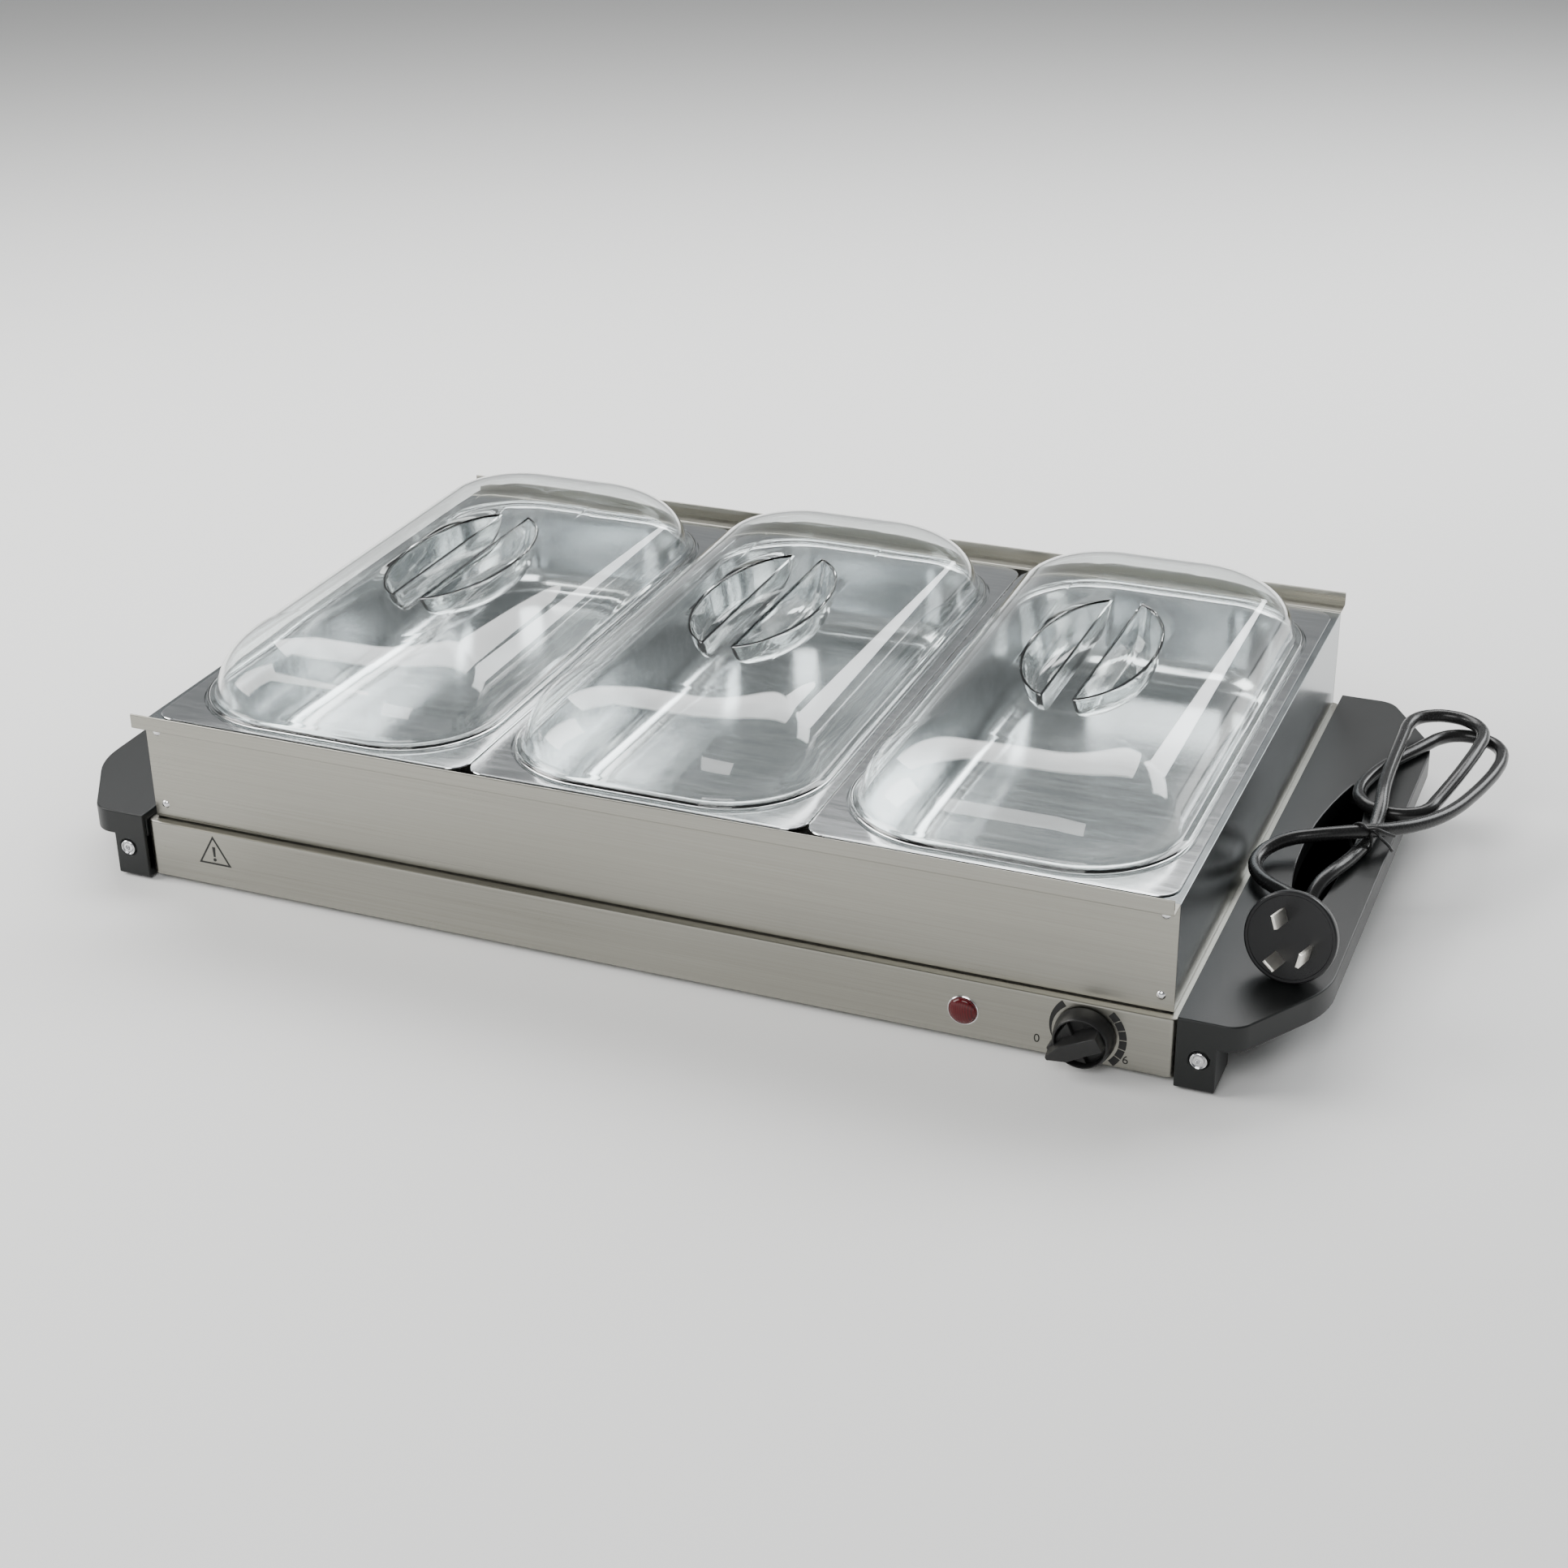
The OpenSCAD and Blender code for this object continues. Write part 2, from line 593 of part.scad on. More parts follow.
module control_knob() placed() color([0.04, 0.04, 0.04]) on_front(knob_x) rotate(knob_rest) difference() {
    union() {
        translate([0, 0, 1]) cylinder(r1 = knob_r, r2 = knob_r - 0.8, h = knob_face - 1);
        translate([0, 0, knob_face - 0.5]) linear_extrude(knob_out - knob_face + 0.5) knob_grip();
        translate([0, 0, 1]) linear_extrude(knob_face) knob_beak();
    }
    translate([0, 0, 0]) cylinder(r = 10, h = 3.6);
    translate([0, 0, 0]) cylinder(r = shaft_r + 0.02, h = knob_out - 3);
    translate([shaft_r - 0.8, -1.6, 3]) cube([1.7, 3.2, knob_out - 6]);
}

knob_face = 7;      // how far the knob's skirt stands out

// The grip: a straight bar that is blunt behind and narrows to the pointer in front.
module knob_grip() {
    polygon(concat([[-knob_r + 3, 3.8], [-knob_r + 3, -3.8], [4, -4.2]],
        arc([knob_r + 1.2, 0], 1.8, -60, 60, 6), [[4, 4.2]]));
}

module knob_beak() {
    polygon(concat([[4, -knob_r + 3.5]], arc([knob_r + 1.2, 0], 1.8, -50, 50, 6), [[4, knob_r - 3.5]]));
}

module thermostat_shaft() placed() color([0.76, 0.76, 0.78]) on_front(knob_x) rotate(knob_rest) difference() {
    translate([0, 0, -13]) cylinder(r = shaft_r, h = 13 + knob_out - 3.2);
    translate([shaft_r - 0.8, -4, 4.5]) cube([4, 8, 20]);
}

module knob_spring_clip() placed() color([0.70, 0.71, 0.74]) on_front(knob_x) rotate(knob_rest)
    translate([shaft_r - 0.75, -1.5, 4.6]) cube([0.7, 3, knob_out - 8]);

// ---- wiring ----

block_at = [232, -62];
block_screws = [[232, -68.5], [232, -55.5]];
earth_at = [205, -100];

module terminal_block() placed() color([0.88, 0.87, 0.82]) difference() {
    translate([block_at.x - 17, block_at.y - 10, floor_top]) cube([34, 20, 13]);
    for (i = [-1, 1], sy = [-1, 1]) translate([block_at.x + i * 11, block_at.y + sy * 5, floor_top + 7])
        cylinder(r = 2, h = 8);
    for (p = block_screws) translate([p.x, p.y, floor_top - over]) {
        cylinder(r = 1.5 + hole_fit, h = 20);
        translate([0, 0, 8 + over]) cylinder(r = 3, h = 10);
    }
}

module terminal_screws() placed() color([0.80, 0.72, 0.45]) {
    for (i = [-1, 1], sy = [-1, 1]) translate([block_at.x + i * 11, block_at.y + sy * 5, floor_top + 7])
        cylinder(r = 1.9, h = 4.5);
    for (p = block_screws) translate([p.x, p.y, 0]) {
        translate([0, 0, floor_z - 1.5]) cylinder(r = 1.5, h = floor_top - floor_z + 9.6);
        translate([0, 0, floor_top + 8]) cylinder(r = 2.7, h = 1.6);
    }
}

module earth_screw() placed() color([0.78, 0.74, 0.55]) translate([earth_at.x, earth_at.y, 0]) {
    translate([0, 0, floor_z - 1.8]) cylinder(r = 2, h = 9);
    translate([0, 0, floor_top + 1.4]) cylinder(r = 4, h = 2.4);
}

module live_wire() placed() color([0.45, 0.24, 0.12]) {
    tube([[247.6, -119.5, 21], [244, -112, 21], [243, -98, 20], [243, -84, 16], [243, -73.5, 12]], wire_d);
    tube([[221, -73.5, 12], [219, -79, 15], [217, -92, 19], [215, -110, 21], [214.5, -130, 20],
        [214.5, -142.4, 18]], wire_d);
    tube([[230.5, -142.4, 18], [230, -132, 22], [222, -112, 25], [204, -70, 25], [184, -30, 22],
        [160, -12, 19.4], [155, -6, 19]], wire_d);
    tube([[145, 6, 19], [150, 12, 19.4], [166, 30, 21], [180, 60, 23], [185, 80, 27], [185, 86, 29]], wire_d);
}

module neutral_wire() placed() color([0.15, 0.30, 0.60]) {
    tube([[247.6, -117, 17.5], [240, -108, 17], [236, -96, 18], [242, -84, 22], [253, -72, 20],
        [255, -62, 15], [250.6, -57, 12]], wire_d);
    tube([[213.4, -57, 12], [207, -57, 14], [199, -60, 20], [193, -70, 25], [187, -80, 28],
        [185, -85, 29]], wire_d);
}

module earth_wire() placed() color([0.35, 0.55, 0.20])
    tube([[247.6, -122.5, 18], [240, -128, 15], [228, -128, 11], [216, -118, 8], [211.6, -107, 7],
        [210.4, -100, 7.5]], wire_d);

// Two cores run side by side from the lamp to the terminal block.
module lamp_wires() placed() color([0.75, 0.74, 0.70]) for (s = [-1, 1])
    tube([[lamp_x + s * 2.5, front + 29, control_z], [lamp_x + 6 + s * 1.5, front + 34 - s, control_z + 3.5],
        [lamp_x + 18, front + 38 - s * 2, 24], [lamp_x + 34 + s, front + 42 - s * 2, 24.5],
        [lamp_x + 42 + s * 2, front + 56, 24], [213 + s * 2, -92, 23], [224 + s * 2, -80, 18],
        [229 + s * 2, -73, 12]], 1.8);

// ---- cord ----

module cord_bushing() placed() color([0.05, 0.05, 0.05])
    translate([base_x, cord_inlet_y, cord_inlet_z]) rotate([0, 90, 0]) difference() {
        union() {
            translate([0, 0, -sheet - 3]) cylinder(r = bushing_r + 1.5, h = 3);
            translate([0, 0, -sheet - 0.5]) cylinder(r = bushing_r, h = sheet + 1);
            cylinder(r = bushing_r + 1.5, h = 2.6);
            translate([0, 0, 2.6]) cylinder(r1 = 6, r2 = cord_d / 2 + 0.9, h = 17);
        }
        translate([0, 0, -6]) cylinder(d = cord_d, h = 40);
    }

module cord_clamp() placed() color([0.85, 0.84, 0.80])
translate([252, cord_inlet_y, floor_top]) difference() {
    translate([-3, -9, 0]) cube([6, 18, cord_inlet_z + cord_d / 2 + 2.5 - floor_top]);
    translate([-5, 0, cord_inlet_z - floor_top]) rotate([0, 90, 0]) cylinder(d = cord_d, h = 10);
}

module power_cord() color([0.05, 0.05, 0.05]) tube(CORD, cord_d - 0.2, 10);

plug_deep = 12;

module plug_body() color([0.04, 0.04, 0.04]) translate(plug_at) rotate(plug_turn) difference() {
    union() {
        translate([0, 0, -4]) cylinder(r1 = plug_d / 2, r2 = plug_d / 2 - 0.8, h = 4);
        translate([0, 0, -plug_deep]) cylinder(r1 = plug_d / 2 - 5, r2 = plug_d / 2 - 0.6, h = plug_deep - 4);
        translate([0, 0, -20]) cylinder(r1 = 7.5, r2 = plug_d / 2 - 5, h = 8);
        translate([0, 0, -40]) cylinder(r1 = cord_d / 2 + 0.9, r2 = 6.2, h = 20.2);
    }
    translate([0, 0, -41]) cylinder(d = cord_d, h = 12);
    for (a = pin_angles) pin_at(a) translate([-3.2, -0.85, -8]) cube([6.4, 1.7, 9]);
}

// Pins: the earth pin and the two inclined ones, all the same distance from the middle.
pin_r = 10.4;
pin_angles = [[112, 0], [251, 71], [333, -71]];   // place round the middle, and turn in place

module pin_at(a) {
    rotate(a[0]) translate([pin_r, 0, 0]) rotate(a[1]) children();
}

module plug_pins() color([0.80, 0.77, 0.68]) translate(plug_at) rotate(plug_turn)
    for (a = pin_angles) pin_at(a) difference() {
        translate([-3.15, -0.8, -8]) cube([6.3, 1.6, 8 + 17]);
        for (s = [-1, 1]) translate([s * 3.15, 0, 17]) rotate([0, 45, 0]) cube([1.4, 4, 1.4], center = true);
    }

// The twist tie: a ring of wire round the two crossing strands, and its twisted ends.
module cord_tie() color([0.06, 0.06, 0.06]) {
    tube([for (i = [0:14]) let (a = 360 * i / 14 + 60)
        tie_at + [5.6 * cos(a), -2.6 * cos(a) + 0.06 * i, 0.6 + 7.4 * sin(a)]], 1.5, 6);
    translate(tie_at + [2.6, -1.4, 7.4]) rotate([-20, 62, -35]) cylinder(r = 0.8, h = 15);
    translate(tie_at + [2.6, -1.4, 7.4]) rotate([12, 88, -12]) cylinder(r = 0.8, h = 12);
}

// ---- pan frame ----

rivet_z = [8, 48];    // over the base's top
rivet_in = 6;         // from the frame's ends

module frame_panel() {
    difference() {
        union() {
            translate([-frame_x, -frame_y, frame_low]) cube([frame_len, sheet, frame_top - frame_low]);
            translate([-frame_x, -frame_y - lip_out, frame_top - sheet]) {
                cube([frame_len, lip_out + sheet, sheet]);
                cube([frame_len, 2 * sheet, lip_up + sheet]);
            }
        }
        rivet_places() cylinder(r = rivet_r + 0.05, h = 6, center = true);
    }
}

module rivet_places() {
    for (sx = [-1, 1], z = rivet_z) translate([sx * (frame_x - rivet_in), -frame_y, base_top + z])
        rotate([90, 0, 0]) children();
}

module frame_front() placed() color([0.66, 0.65, 0.61]) frame_panel();

module frame_rear() placed() color([0.66, 0.65, 0.61]) mirror([0, 1, 0]) frame_panel();

module side_panel() difference() {
    union() {
        translate([frame_x - sheet, -frame_y + sheet, frame_low])
            cube([sheet, frame_dep - 2 * sheet, frame_top - frame_low]);
        translate([frame_x - side_flange, -frame_y + sheet, frame_top - sheet])
            cube([side_flange, frame_dep - 2 * sheet, sheet]);
        for (sy = [-1, 1])
            translate([frame_x - corner_tab, sy * (frame_y - 1.5 * sheet) - sheet / 2, frame_low + 1])
                cube([corner_tab, sheet, frame_top - frame_low - 1 - sheet]);
    }
    for (m = [0, 1]) mirror([0, m, 0]) rivet_places() cylinder(r = rivet_r + 0.05, h = 8, center = true);
}

module frame_left() placed() color([0.60, 0.60, 0.58]) mirror([1, 0, 0]) side_panel();

module frame_right() placed() color([0.60, 0.60, 0.58]) side_panel();

module frame_rivets() placed() color([0.75, 0.74, 0.72]) for (m = [0, 1]) mirror([0, m, 0]) rivet_places() {
    dome(2.1, 1);
    translate([0, 0, -2 * sheet]) cylinder(r = rivet_r, h = 2 * sheet + 0.2);
    translate([0, 0, -2 * sheet - 1]) cylinder(r = 2, h = 1);
}

// A bar between two pans: a channel whose ends step down and lie against the panels.
module crossbar(x) translate([x, 0, 0]) {
    run = 2 * (frame_y - sheet) - 2 * bar_step;
    translate([-bar_w / 2, -run / 2, frame_top - sheet]) cube([bar_w, run, sheet]);
    for (sx = [-1, 1]) translate([sx * (bar_w / 2 - sheet / 2) - sheet / 2, -run / 2, frame_top - bar_h])
        cube([sheet, run, bar_h]);
    for (sy = [-1, 1]) mirror([0, sy < 0 ? 1 : 0, 0]) {
        translate([-bar_w / 2, run / 2 - sheet, frame_top - bar_h]) {
            cube([bar_w, sheet, bar_h]);
            cube([bar_w, bar_step + sheet, sheet]);
            translate([0, bar_step, -bar_foot]) cube([bar_w, sheet, bar_foot + sheet]);
        }
    }
}

bar_step = 12;
bar_foot = 10;    // how far the bar's end goes down along the panel

module crossbar_left() placed() color([0.62, 0.62, 0.60]) crossbar(-pan_pitch / 2);

module crossbar_right() placed() color([0.62, 0.62, 0.60]) crossbar(pan_pitch / 2);

// ---- pans and lids ----

// A drawn well: rounded slabs at three heights, joined into one shape that narrows downwards.
module well(grow, low, top) {
    $fn = 40;
    half = [well_x + grow, well_y + grow];
    levels = [[top, 0, 0], [low + 14, pan_draft - 4, 0], [low, pan_draft + 7, 5]];
    hull() for (l = levels) let (size = 2 * (half - [l[1], l[1]]), r = well_corner + grow - l[1] - l[2])
        translate([0, 0, l[0] - 0.05]) linear_extrude(0.05) rounded_rect(size.x, size.y, r);
}

module pan(x) translate([x, 0, 0]) difference() {
    union() {
        translate([0, 0, rim_z]) slab(rim_wid, rim_len, pan_t, rim_corner);
        well(pan_t, pan_low, rim_z + 0.1);
    }
    well(0, pan_low + pan_t, rim_top + over);
}

module pan_left() placed() color([0.80, 0.80, 0.79]) pan(-pan_pitch);

module pan_middle() placed() color([0.80, 0.80, 0.79]) pan(0);

module pan_right() placed() color([0.80, 0.80, 0.79]) pan(pan_pitch);

// The lids' outer skin at five heights: height over the lid's edge, how far it has drawn in.
function lid_levels() = [[2, 0, 0], [lid_hgt * 0.45, 3, 0], [lid_hgt * 0.72, 9, 0],
    [lid_hgt * 0.92, 24, 8], [lid_hgt, 42, 22]];

module lid_skin(cut) {
    $fn = 40;
    half = [well_x - cut, well_y - cut];
    hull() for (l = lid_levels())
        let (size = 2 * (half - [l[1], l[1] * 1.1]), r = well_corner - l[1] * 0.4 - l[2] * 0.3 - cut)
            translate([0, 0, lid_z + l[0] - cut]) linear_extrude(0.05) rounded_rect(size.x, size.y, r);
    translate([0, 0, lid_z - over]) slab(2 * half.x, 2 * half.y, 2 + over, well_corner - cut);
}

// Half of the oval finger recess, on the side sx, grown by `grow` all round.
function half_moon(sx, grow) =
    let (a = grip_wid / 2 + grow, b = grip_len / 2 + grow, x0 = grip_bar / 2 - grow,
         end = asin(sqrt(1 - (x0 / a) * (x0 / a))), n = 20)
    [for (i = [0:n]) let (t = -end + 2 * end * i / n) [sx * a * cos(t), b * sin(t)]];

module lid_blank() intersection() {
    union() {
        lid_skin(0);
        translate([0, 0, lid_z]) slab(2 * lid_x, 2 * lid_y, 2, lid_corner);
    }
    translate([-lid_x, -lid_y, lid_z]) cube([2 * lid_x, 2 * lid_y, lid_hgt + over]);
}

module moons(grow, low) {
    for (sx = [-1, 1]) translate([0, 0, low])
        linear_extrude(lid_top + over - low) polygon(half_moon(sx, grow));
}

module lid(x) translate([x, 0, 0]) {
    difference() {
        lid_blank();
        difference() {
            lid_skin(lid_t);
            moons(lid_t, lid_top - grip_deep - lid_t);
        }
        moons(0, lid_top - grip_deep);
    }
    // the lip that keeps the lid in the pan's opening
    translate([0, 0, lid_z - lid_lip]) ring(2 * (well_x - lid_fit), 2 * (well_y - lid_fit),
        lid_lip + 0.5, well_corner - lid_fit, lid_t);
}

lid_lip = 2.5;
lid_fit = 1;

module lid_left() placed() color([0.80, 0.86, 0.85, 0.5]) lid(-pan_pitch);

module lid_middle() placed() color([0.80, 0.86, 0.85, 0.5]) lid(0);

module lid_right() placed() color([0.80, 0.86, 0.85, 0.5]) lid(pan_pitch);

base_housing();
hot_plate();
bottom_plate();
bottom_screws();
handle_left();
handle_right();
handle_screws();
foot_pads();
heating_element();
element_terminals();
element_clamps();
clamp_nuts();
insulation_mat();
heat_shield();
thermostat_body();
thermostat_bracket();
thermostat_nut();
dial_scale();
caution_mark();
thermal_cutoff();
cutoff_clip();
indicator_lens();
indicator_body();
indicator_clip();
terminal_block();
terminal_screws();
live_wire();
neutral_wire();
earth_wire();
lamp_wires();
cord_bushing();
cord_clamp();
earth_screw();
power_cord();
plug_body();
plug_pins();
cord_tie();
control_knob();
thermostat_shaft();
knob_spring_clip();
frame_front();
frame_rear();
frame_left();
frame_right();
frame_rivets();
crossbar_left();
crossbar_right();
pan_left();
pan_middle();
pan_right();
lid_left();
lid_middle();
lid_right();
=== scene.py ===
# %% [markdown]
# # An electric buffet server
#
# The server is a heated steel tray with a lift-off frame, three lidded pans and a black handle at
# each end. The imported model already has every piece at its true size, so this script gives the
# pieces their finish, and remakes the ones whose bends, domes and folds a plain solid can't show.

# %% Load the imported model
import json
import math

import bmesh
import bpy
from mathutils import Matrix, Vector

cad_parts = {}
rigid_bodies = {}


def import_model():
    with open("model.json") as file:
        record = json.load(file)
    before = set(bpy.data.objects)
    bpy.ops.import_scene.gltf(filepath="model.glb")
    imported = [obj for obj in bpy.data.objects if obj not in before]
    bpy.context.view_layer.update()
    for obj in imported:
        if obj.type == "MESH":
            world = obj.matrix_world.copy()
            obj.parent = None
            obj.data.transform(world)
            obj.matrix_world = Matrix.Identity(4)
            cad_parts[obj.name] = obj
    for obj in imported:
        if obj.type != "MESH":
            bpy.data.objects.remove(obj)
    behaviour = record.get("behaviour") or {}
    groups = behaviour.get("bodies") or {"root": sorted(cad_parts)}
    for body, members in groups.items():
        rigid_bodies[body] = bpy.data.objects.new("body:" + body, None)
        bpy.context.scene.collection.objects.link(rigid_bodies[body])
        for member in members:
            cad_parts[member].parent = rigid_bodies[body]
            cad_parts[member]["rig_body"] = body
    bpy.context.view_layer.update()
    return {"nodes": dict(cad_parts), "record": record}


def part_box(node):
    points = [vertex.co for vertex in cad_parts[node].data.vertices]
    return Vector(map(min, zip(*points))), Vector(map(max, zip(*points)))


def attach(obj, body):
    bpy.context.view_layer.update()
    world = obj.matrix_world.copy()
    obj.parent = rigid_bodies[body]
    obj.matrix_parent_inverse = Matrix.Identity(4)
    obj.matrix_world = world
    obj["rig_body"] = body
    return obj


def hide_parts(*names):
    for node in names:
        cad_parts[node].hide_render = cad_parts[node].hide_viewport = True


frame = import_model()
nodes = frame["nodes"]
slot_of = {part["node"]: part["material_slot"] for part in frame["record"]["subparts"]}
MM = 0.001

# %% [markdown]
# The base's box gives the middle of the body, from which every other place is worked out. The knob
# stands out in front, so the middle of the body is a little behind the middle of the model.

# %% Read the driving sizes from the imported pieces
SHELL_OUT = 1.1  # from the floor plate's end to the shell's outer face


def box_mm(node):
    """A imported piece's lowest and highest corners, in millimetres."""
    low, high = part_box(node)
    return low / MM, high / MM


def add(name, data):
    """A new object in the scene."""
    thing = bpy.data.objects.new(name, data)
    bpy.context.scene.collection.objects.link(thing)
    return thing


base_low, base_high = box_mm("base_housing")
BODY_Y = (base_low.y + base_high.y) / 2
BASE_X = (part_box("bottom_plate")[1].x / MM) + SHELL_OUT
BASE_Y = (base_high.y - base_low.y) / 2
BASE_TOP = base_high.z
FRONT_Y = base_low.y
print("body middle", round(BODY_Y, 2), "front", round(FRONT_Y, 2), "half length", round(BASE_X, 2))

# %% [markdown]
# ## The camera
#
# The view is from the right of the front and from above, through a long lens, so that far edges
# stay nearly as long as near ones. Its three directions are worked out from the turn, the tilt and
# the roll, and they are the columns of the camera's matrix.

# %% Place the camera
LENS, SENSOR = 60.65, 36.0
TURN, TILT, ROLL = (math.radians(a) for a in (22.44, 26.81, -0.75))
EYE = Vector((477.4, BODY_Y - 1132.7, 639.5)) * MM

ahead = Vector((-math.sin(TURN) * math.cos(TILT), math.cos(TURN) * math.cos(TILT),
                -math.sin(TILT)))
right = Vector((math.cos(TURN), math.sin(TURN), 0))
up = right.cross(ahead)
right, up = (math.cos(ROLL) * right + math.sin(ROLL) * up,
             math.cos(ROLL) * up - math.sin(ROLL) * right)
camera_data = bpy.data.cameras.new("camera")
camera_data.lens = LENS
camera_data.sensor_width = SENSOR
camera_data.clip_start = 0.05
camera = add("camera", camera_data)
camera.matrix_world = Matrix((right, up, -ahead)).transposed().to_4x4()
camera.matrix_world.translation = EYE
bpy.context.scene.camera = camera

# %% [markdown]
# ## Finishes
#
# A finish is a material with its pattern worked out by nodes. Writing each Math node by hand hides
# the sum that it stands for, so a small class wraps a socket and lets Python's own operators add
# the nodes. Anything else comes from one method that takes a node's type, settings and inputs.

# %% A class for sums on sockets
OBJECT_OUT = 3  # the Texture Coordinate node's Object socket
MIX_SHARE, MIX_LOW, MIX_HIGH, MIX_OUT = 0, 6, 7, 2  # the Mix node's colour sockets


class Wire:
    """The output of a node, which can be added, multiplied and so on."""

    def __init__(self, tree, socket):
        self.tree, self.socket = tree, socket

    def sum(self, operation, a, b):
        made = self.tree.nodes.new("ShaderNodeMath")
        made.operation = operation
        connect(self.tree, made.inputs[0], a)
        connect(self.tree, made.inputs[1], b)
        return Wire(self.tree, made.outputs[0])

    def __add__(self, other):
        return self.sum("ADD", self, other)

    def __sub__(self, other):
        return self.sum("SUBTRACT", self, other)

    def __mul__(self, other):
        return self.sum("MULTIPLY", self, other)

    def __rsub__(self, other):
        return self.sum("SUBTRACT", other, self)

    def __pow__(self, other):
        return self.sum("POWER", self, other)

    def __abs__(self):
        return self.sum("ABSOLUTE", self, 0.0)

    __radd__, __rmul__ = __add__, __mul__


def connect(tree, socket, value):
    """Links a wire to a socket, or sets the socket to a plain value."""
    if isinstance(value, Wire):
        tree.links.new(value.socket, socket)
    else:
        socket.default_value = value


class Finish:
    """A material, its nodes, and its main shader."""

    def __init__(self, name, colour, roughness, metallic=0.0, **plain):
        self.material = bpy.data.materials.new(name)
        self.material.use_nodes = True
        self.tree = self.material.node_tree
        self.shader = self.tree.nodes["Principled BSDF"]
        self.set("Base Color", (*colour, 1))
        self.set("Roughness", roughness)
        self.set("Metallic", metallic)
        for socket, value in plain.items():
            self.set(socket.replace("_", " "), value)
        self.material.diffuse_color = (*colour, 1)

    def set(self, socket, value):
        connect(self.tree, self.shader.inputs[socket], value)

    def node(self, kind, settings=None, out=0, **inputs):
        """A node of any kind, with its settings first and then its inputs."""
        made = self.tree.nodes.new("ShaderNode" + kind)
        for name, value in (settings or {}).items():
            setattr(made, name, value)
        for name, value in inputs.items():
            connect(self.tree, made.inputs[name.replace("_", " ")], value)
        return Wire(self.tree, made.outputs[out])

    def place(self, scale=(1, 1, 1)):
        """Object coordinates in metres, stretched by scale."""
        at = self.node("TexCoord", out=OBJECT_OUT)
        return self.node("Mapping", Vector=at, Scale=scale)

    def noise(self, scale, stretch=(1, 1, 1), detail=3.0, roughness=0.5):
        return self.node("TexNoise", Vector=self.place(stretch), Scale=scale, Detail=detail,
                         Roughness=roughness)

    def between(self, share, low, high):
        """A colour that runs from low to high as share runs from 0 to 1."""
        made = self.tree.nodes.new("ShaderNodeMix")
        made.data_type = "RGBA"
        made.clamp_factor = True
        connect(self.tree, made.inputs[MIX_SHARE], share)
        connect(self.tree, made.inputs[MIX_LOW], (*low, 1))
        connect(self.tree, made.inputs[MIX_HIGH], (*high, 1))
        return Wire(self.tree, made.outputs[MIX_OUT])

    def bump(self, height, depth):
        """Roughens the surface by a depth in millimetres."""
        self.set("Normal", self.node("Bump", Height=height, Distance=depth * MM, Strength=1.0))


print("finish tools ready")

# %% [markdown]
# Brushed steel is rolled, then rubbed along its length with grit. The marks are hair-thin and
# centimetres long, so the noise is squeezed hard across the grain and hardly at all along it. The
# marks change the roughness more than the colour, and a second, broad noise stands for the uneven
# sheen that handling leaves.

# %% Steel finishes


def steel(name, dark, light, roughness, grain=(7, 1100, 1100), mark=0.10, depth=0.004):
    """Steel whose marks are stretched by grain and change the roughness by mark."""
    made = Finish(name, light, roughness, metallic=1.0)
    marks = made.noise(1.0, grain, detail=4.0, roughness=0.6)
    sheen = made.noise(5.0, detail=2.0)
    made.set("Base Color", made.between(marks * 0.75 + sheen * 0.5 - 0.12, dark, light))
    made.set("Roughness", roughness + (marks - 0.5) * mark * 2 + (sheen - 0.5) * 0.08)
    made.bump(marks, depth)
    return made


brushed = steel("brushed_steel", (0.26, 0.255, 0.225), (0.41, 0.40, 0.36), 0.31)
rolled = steel("rolled_steel", (0.26, 0.28, 0.29), (0.40, 0.43, 0.44), 0.22,
               (40, 40, 40), 0.05, 0.002)
folded = steel("folded_steel", (0.50, 0.50, 0.49), (0.66, 0.66, 0.65), 0.26,
               (40, 500, 500), 0.08, 0.003)
drawn = steel("drawn_steel", (0.50, 0.52, 0.53), (0.76, 0.78, 0.79), 0.17,
              (26, 320, 90), 0.07, 0.003)
plate = steel("plate_steel", (0.55, 0.54, 0.51), (0.74, 0.73, 0.70), 0.34,
              (9, 700, 700), 0.10, 0.004)
plated = steel("plated_steel", (0.62, 0.62, 0.63), (0.82, 0.82, 0.83), 0.16,
               (200, 200, 200), 0.06, 0.002)
nickel = steel("nickel_plate", (0.80, 0.77, 0.70), (0.94, 0.92, 0.86), 0.38,
               (90, 90, 900), 0.08, 0.002)
sheath = steel("heated_sheath", (0.16, 0.13, 0.11), (0.36, 0.33, 0.30), 0.55,
               (60, 300, 300), 0.12, 0.01)
print("metal finishes ready")

# %% [markdown]
# The handles are moulded in a mould that was spark-eroded to a fine, even texture, which keeps the
# plastic matte. The knob and the plug come from a smoother mould and shine more. The cord's sheath
# is soft and shows faint long drag marks. All three are nearly black, and it is the texture and the
# roughness that tell them apart.

# %% Plastic and rubber finishes
SHEEN = 0.35  # less than a polished surface's 0.5


def moulded(name, colour, roughness, texture, depth, tint=0.35):
    """A moulded surface with a fine texture and a slow change of colour."""
    made = Finish(name, colour, roughness, Specular_IOR_Level=SHEEN)
    fine = made.noise(texture, detail=2.0)
    broad = made.noise(14.0, detail=3.0)
    high = tuple(min(1.0, c * (1 + tint) + 0.004) for c in colour)
    made.set("Base Color", made.between(fine * 0.6 + broad * 0.4, colour, high))
    made.set("Roughness", roughness + (broad - 0.5) * 0.14 + (fine - 0.5) * 0.10)
    made.bump(fine, depth)
    return made


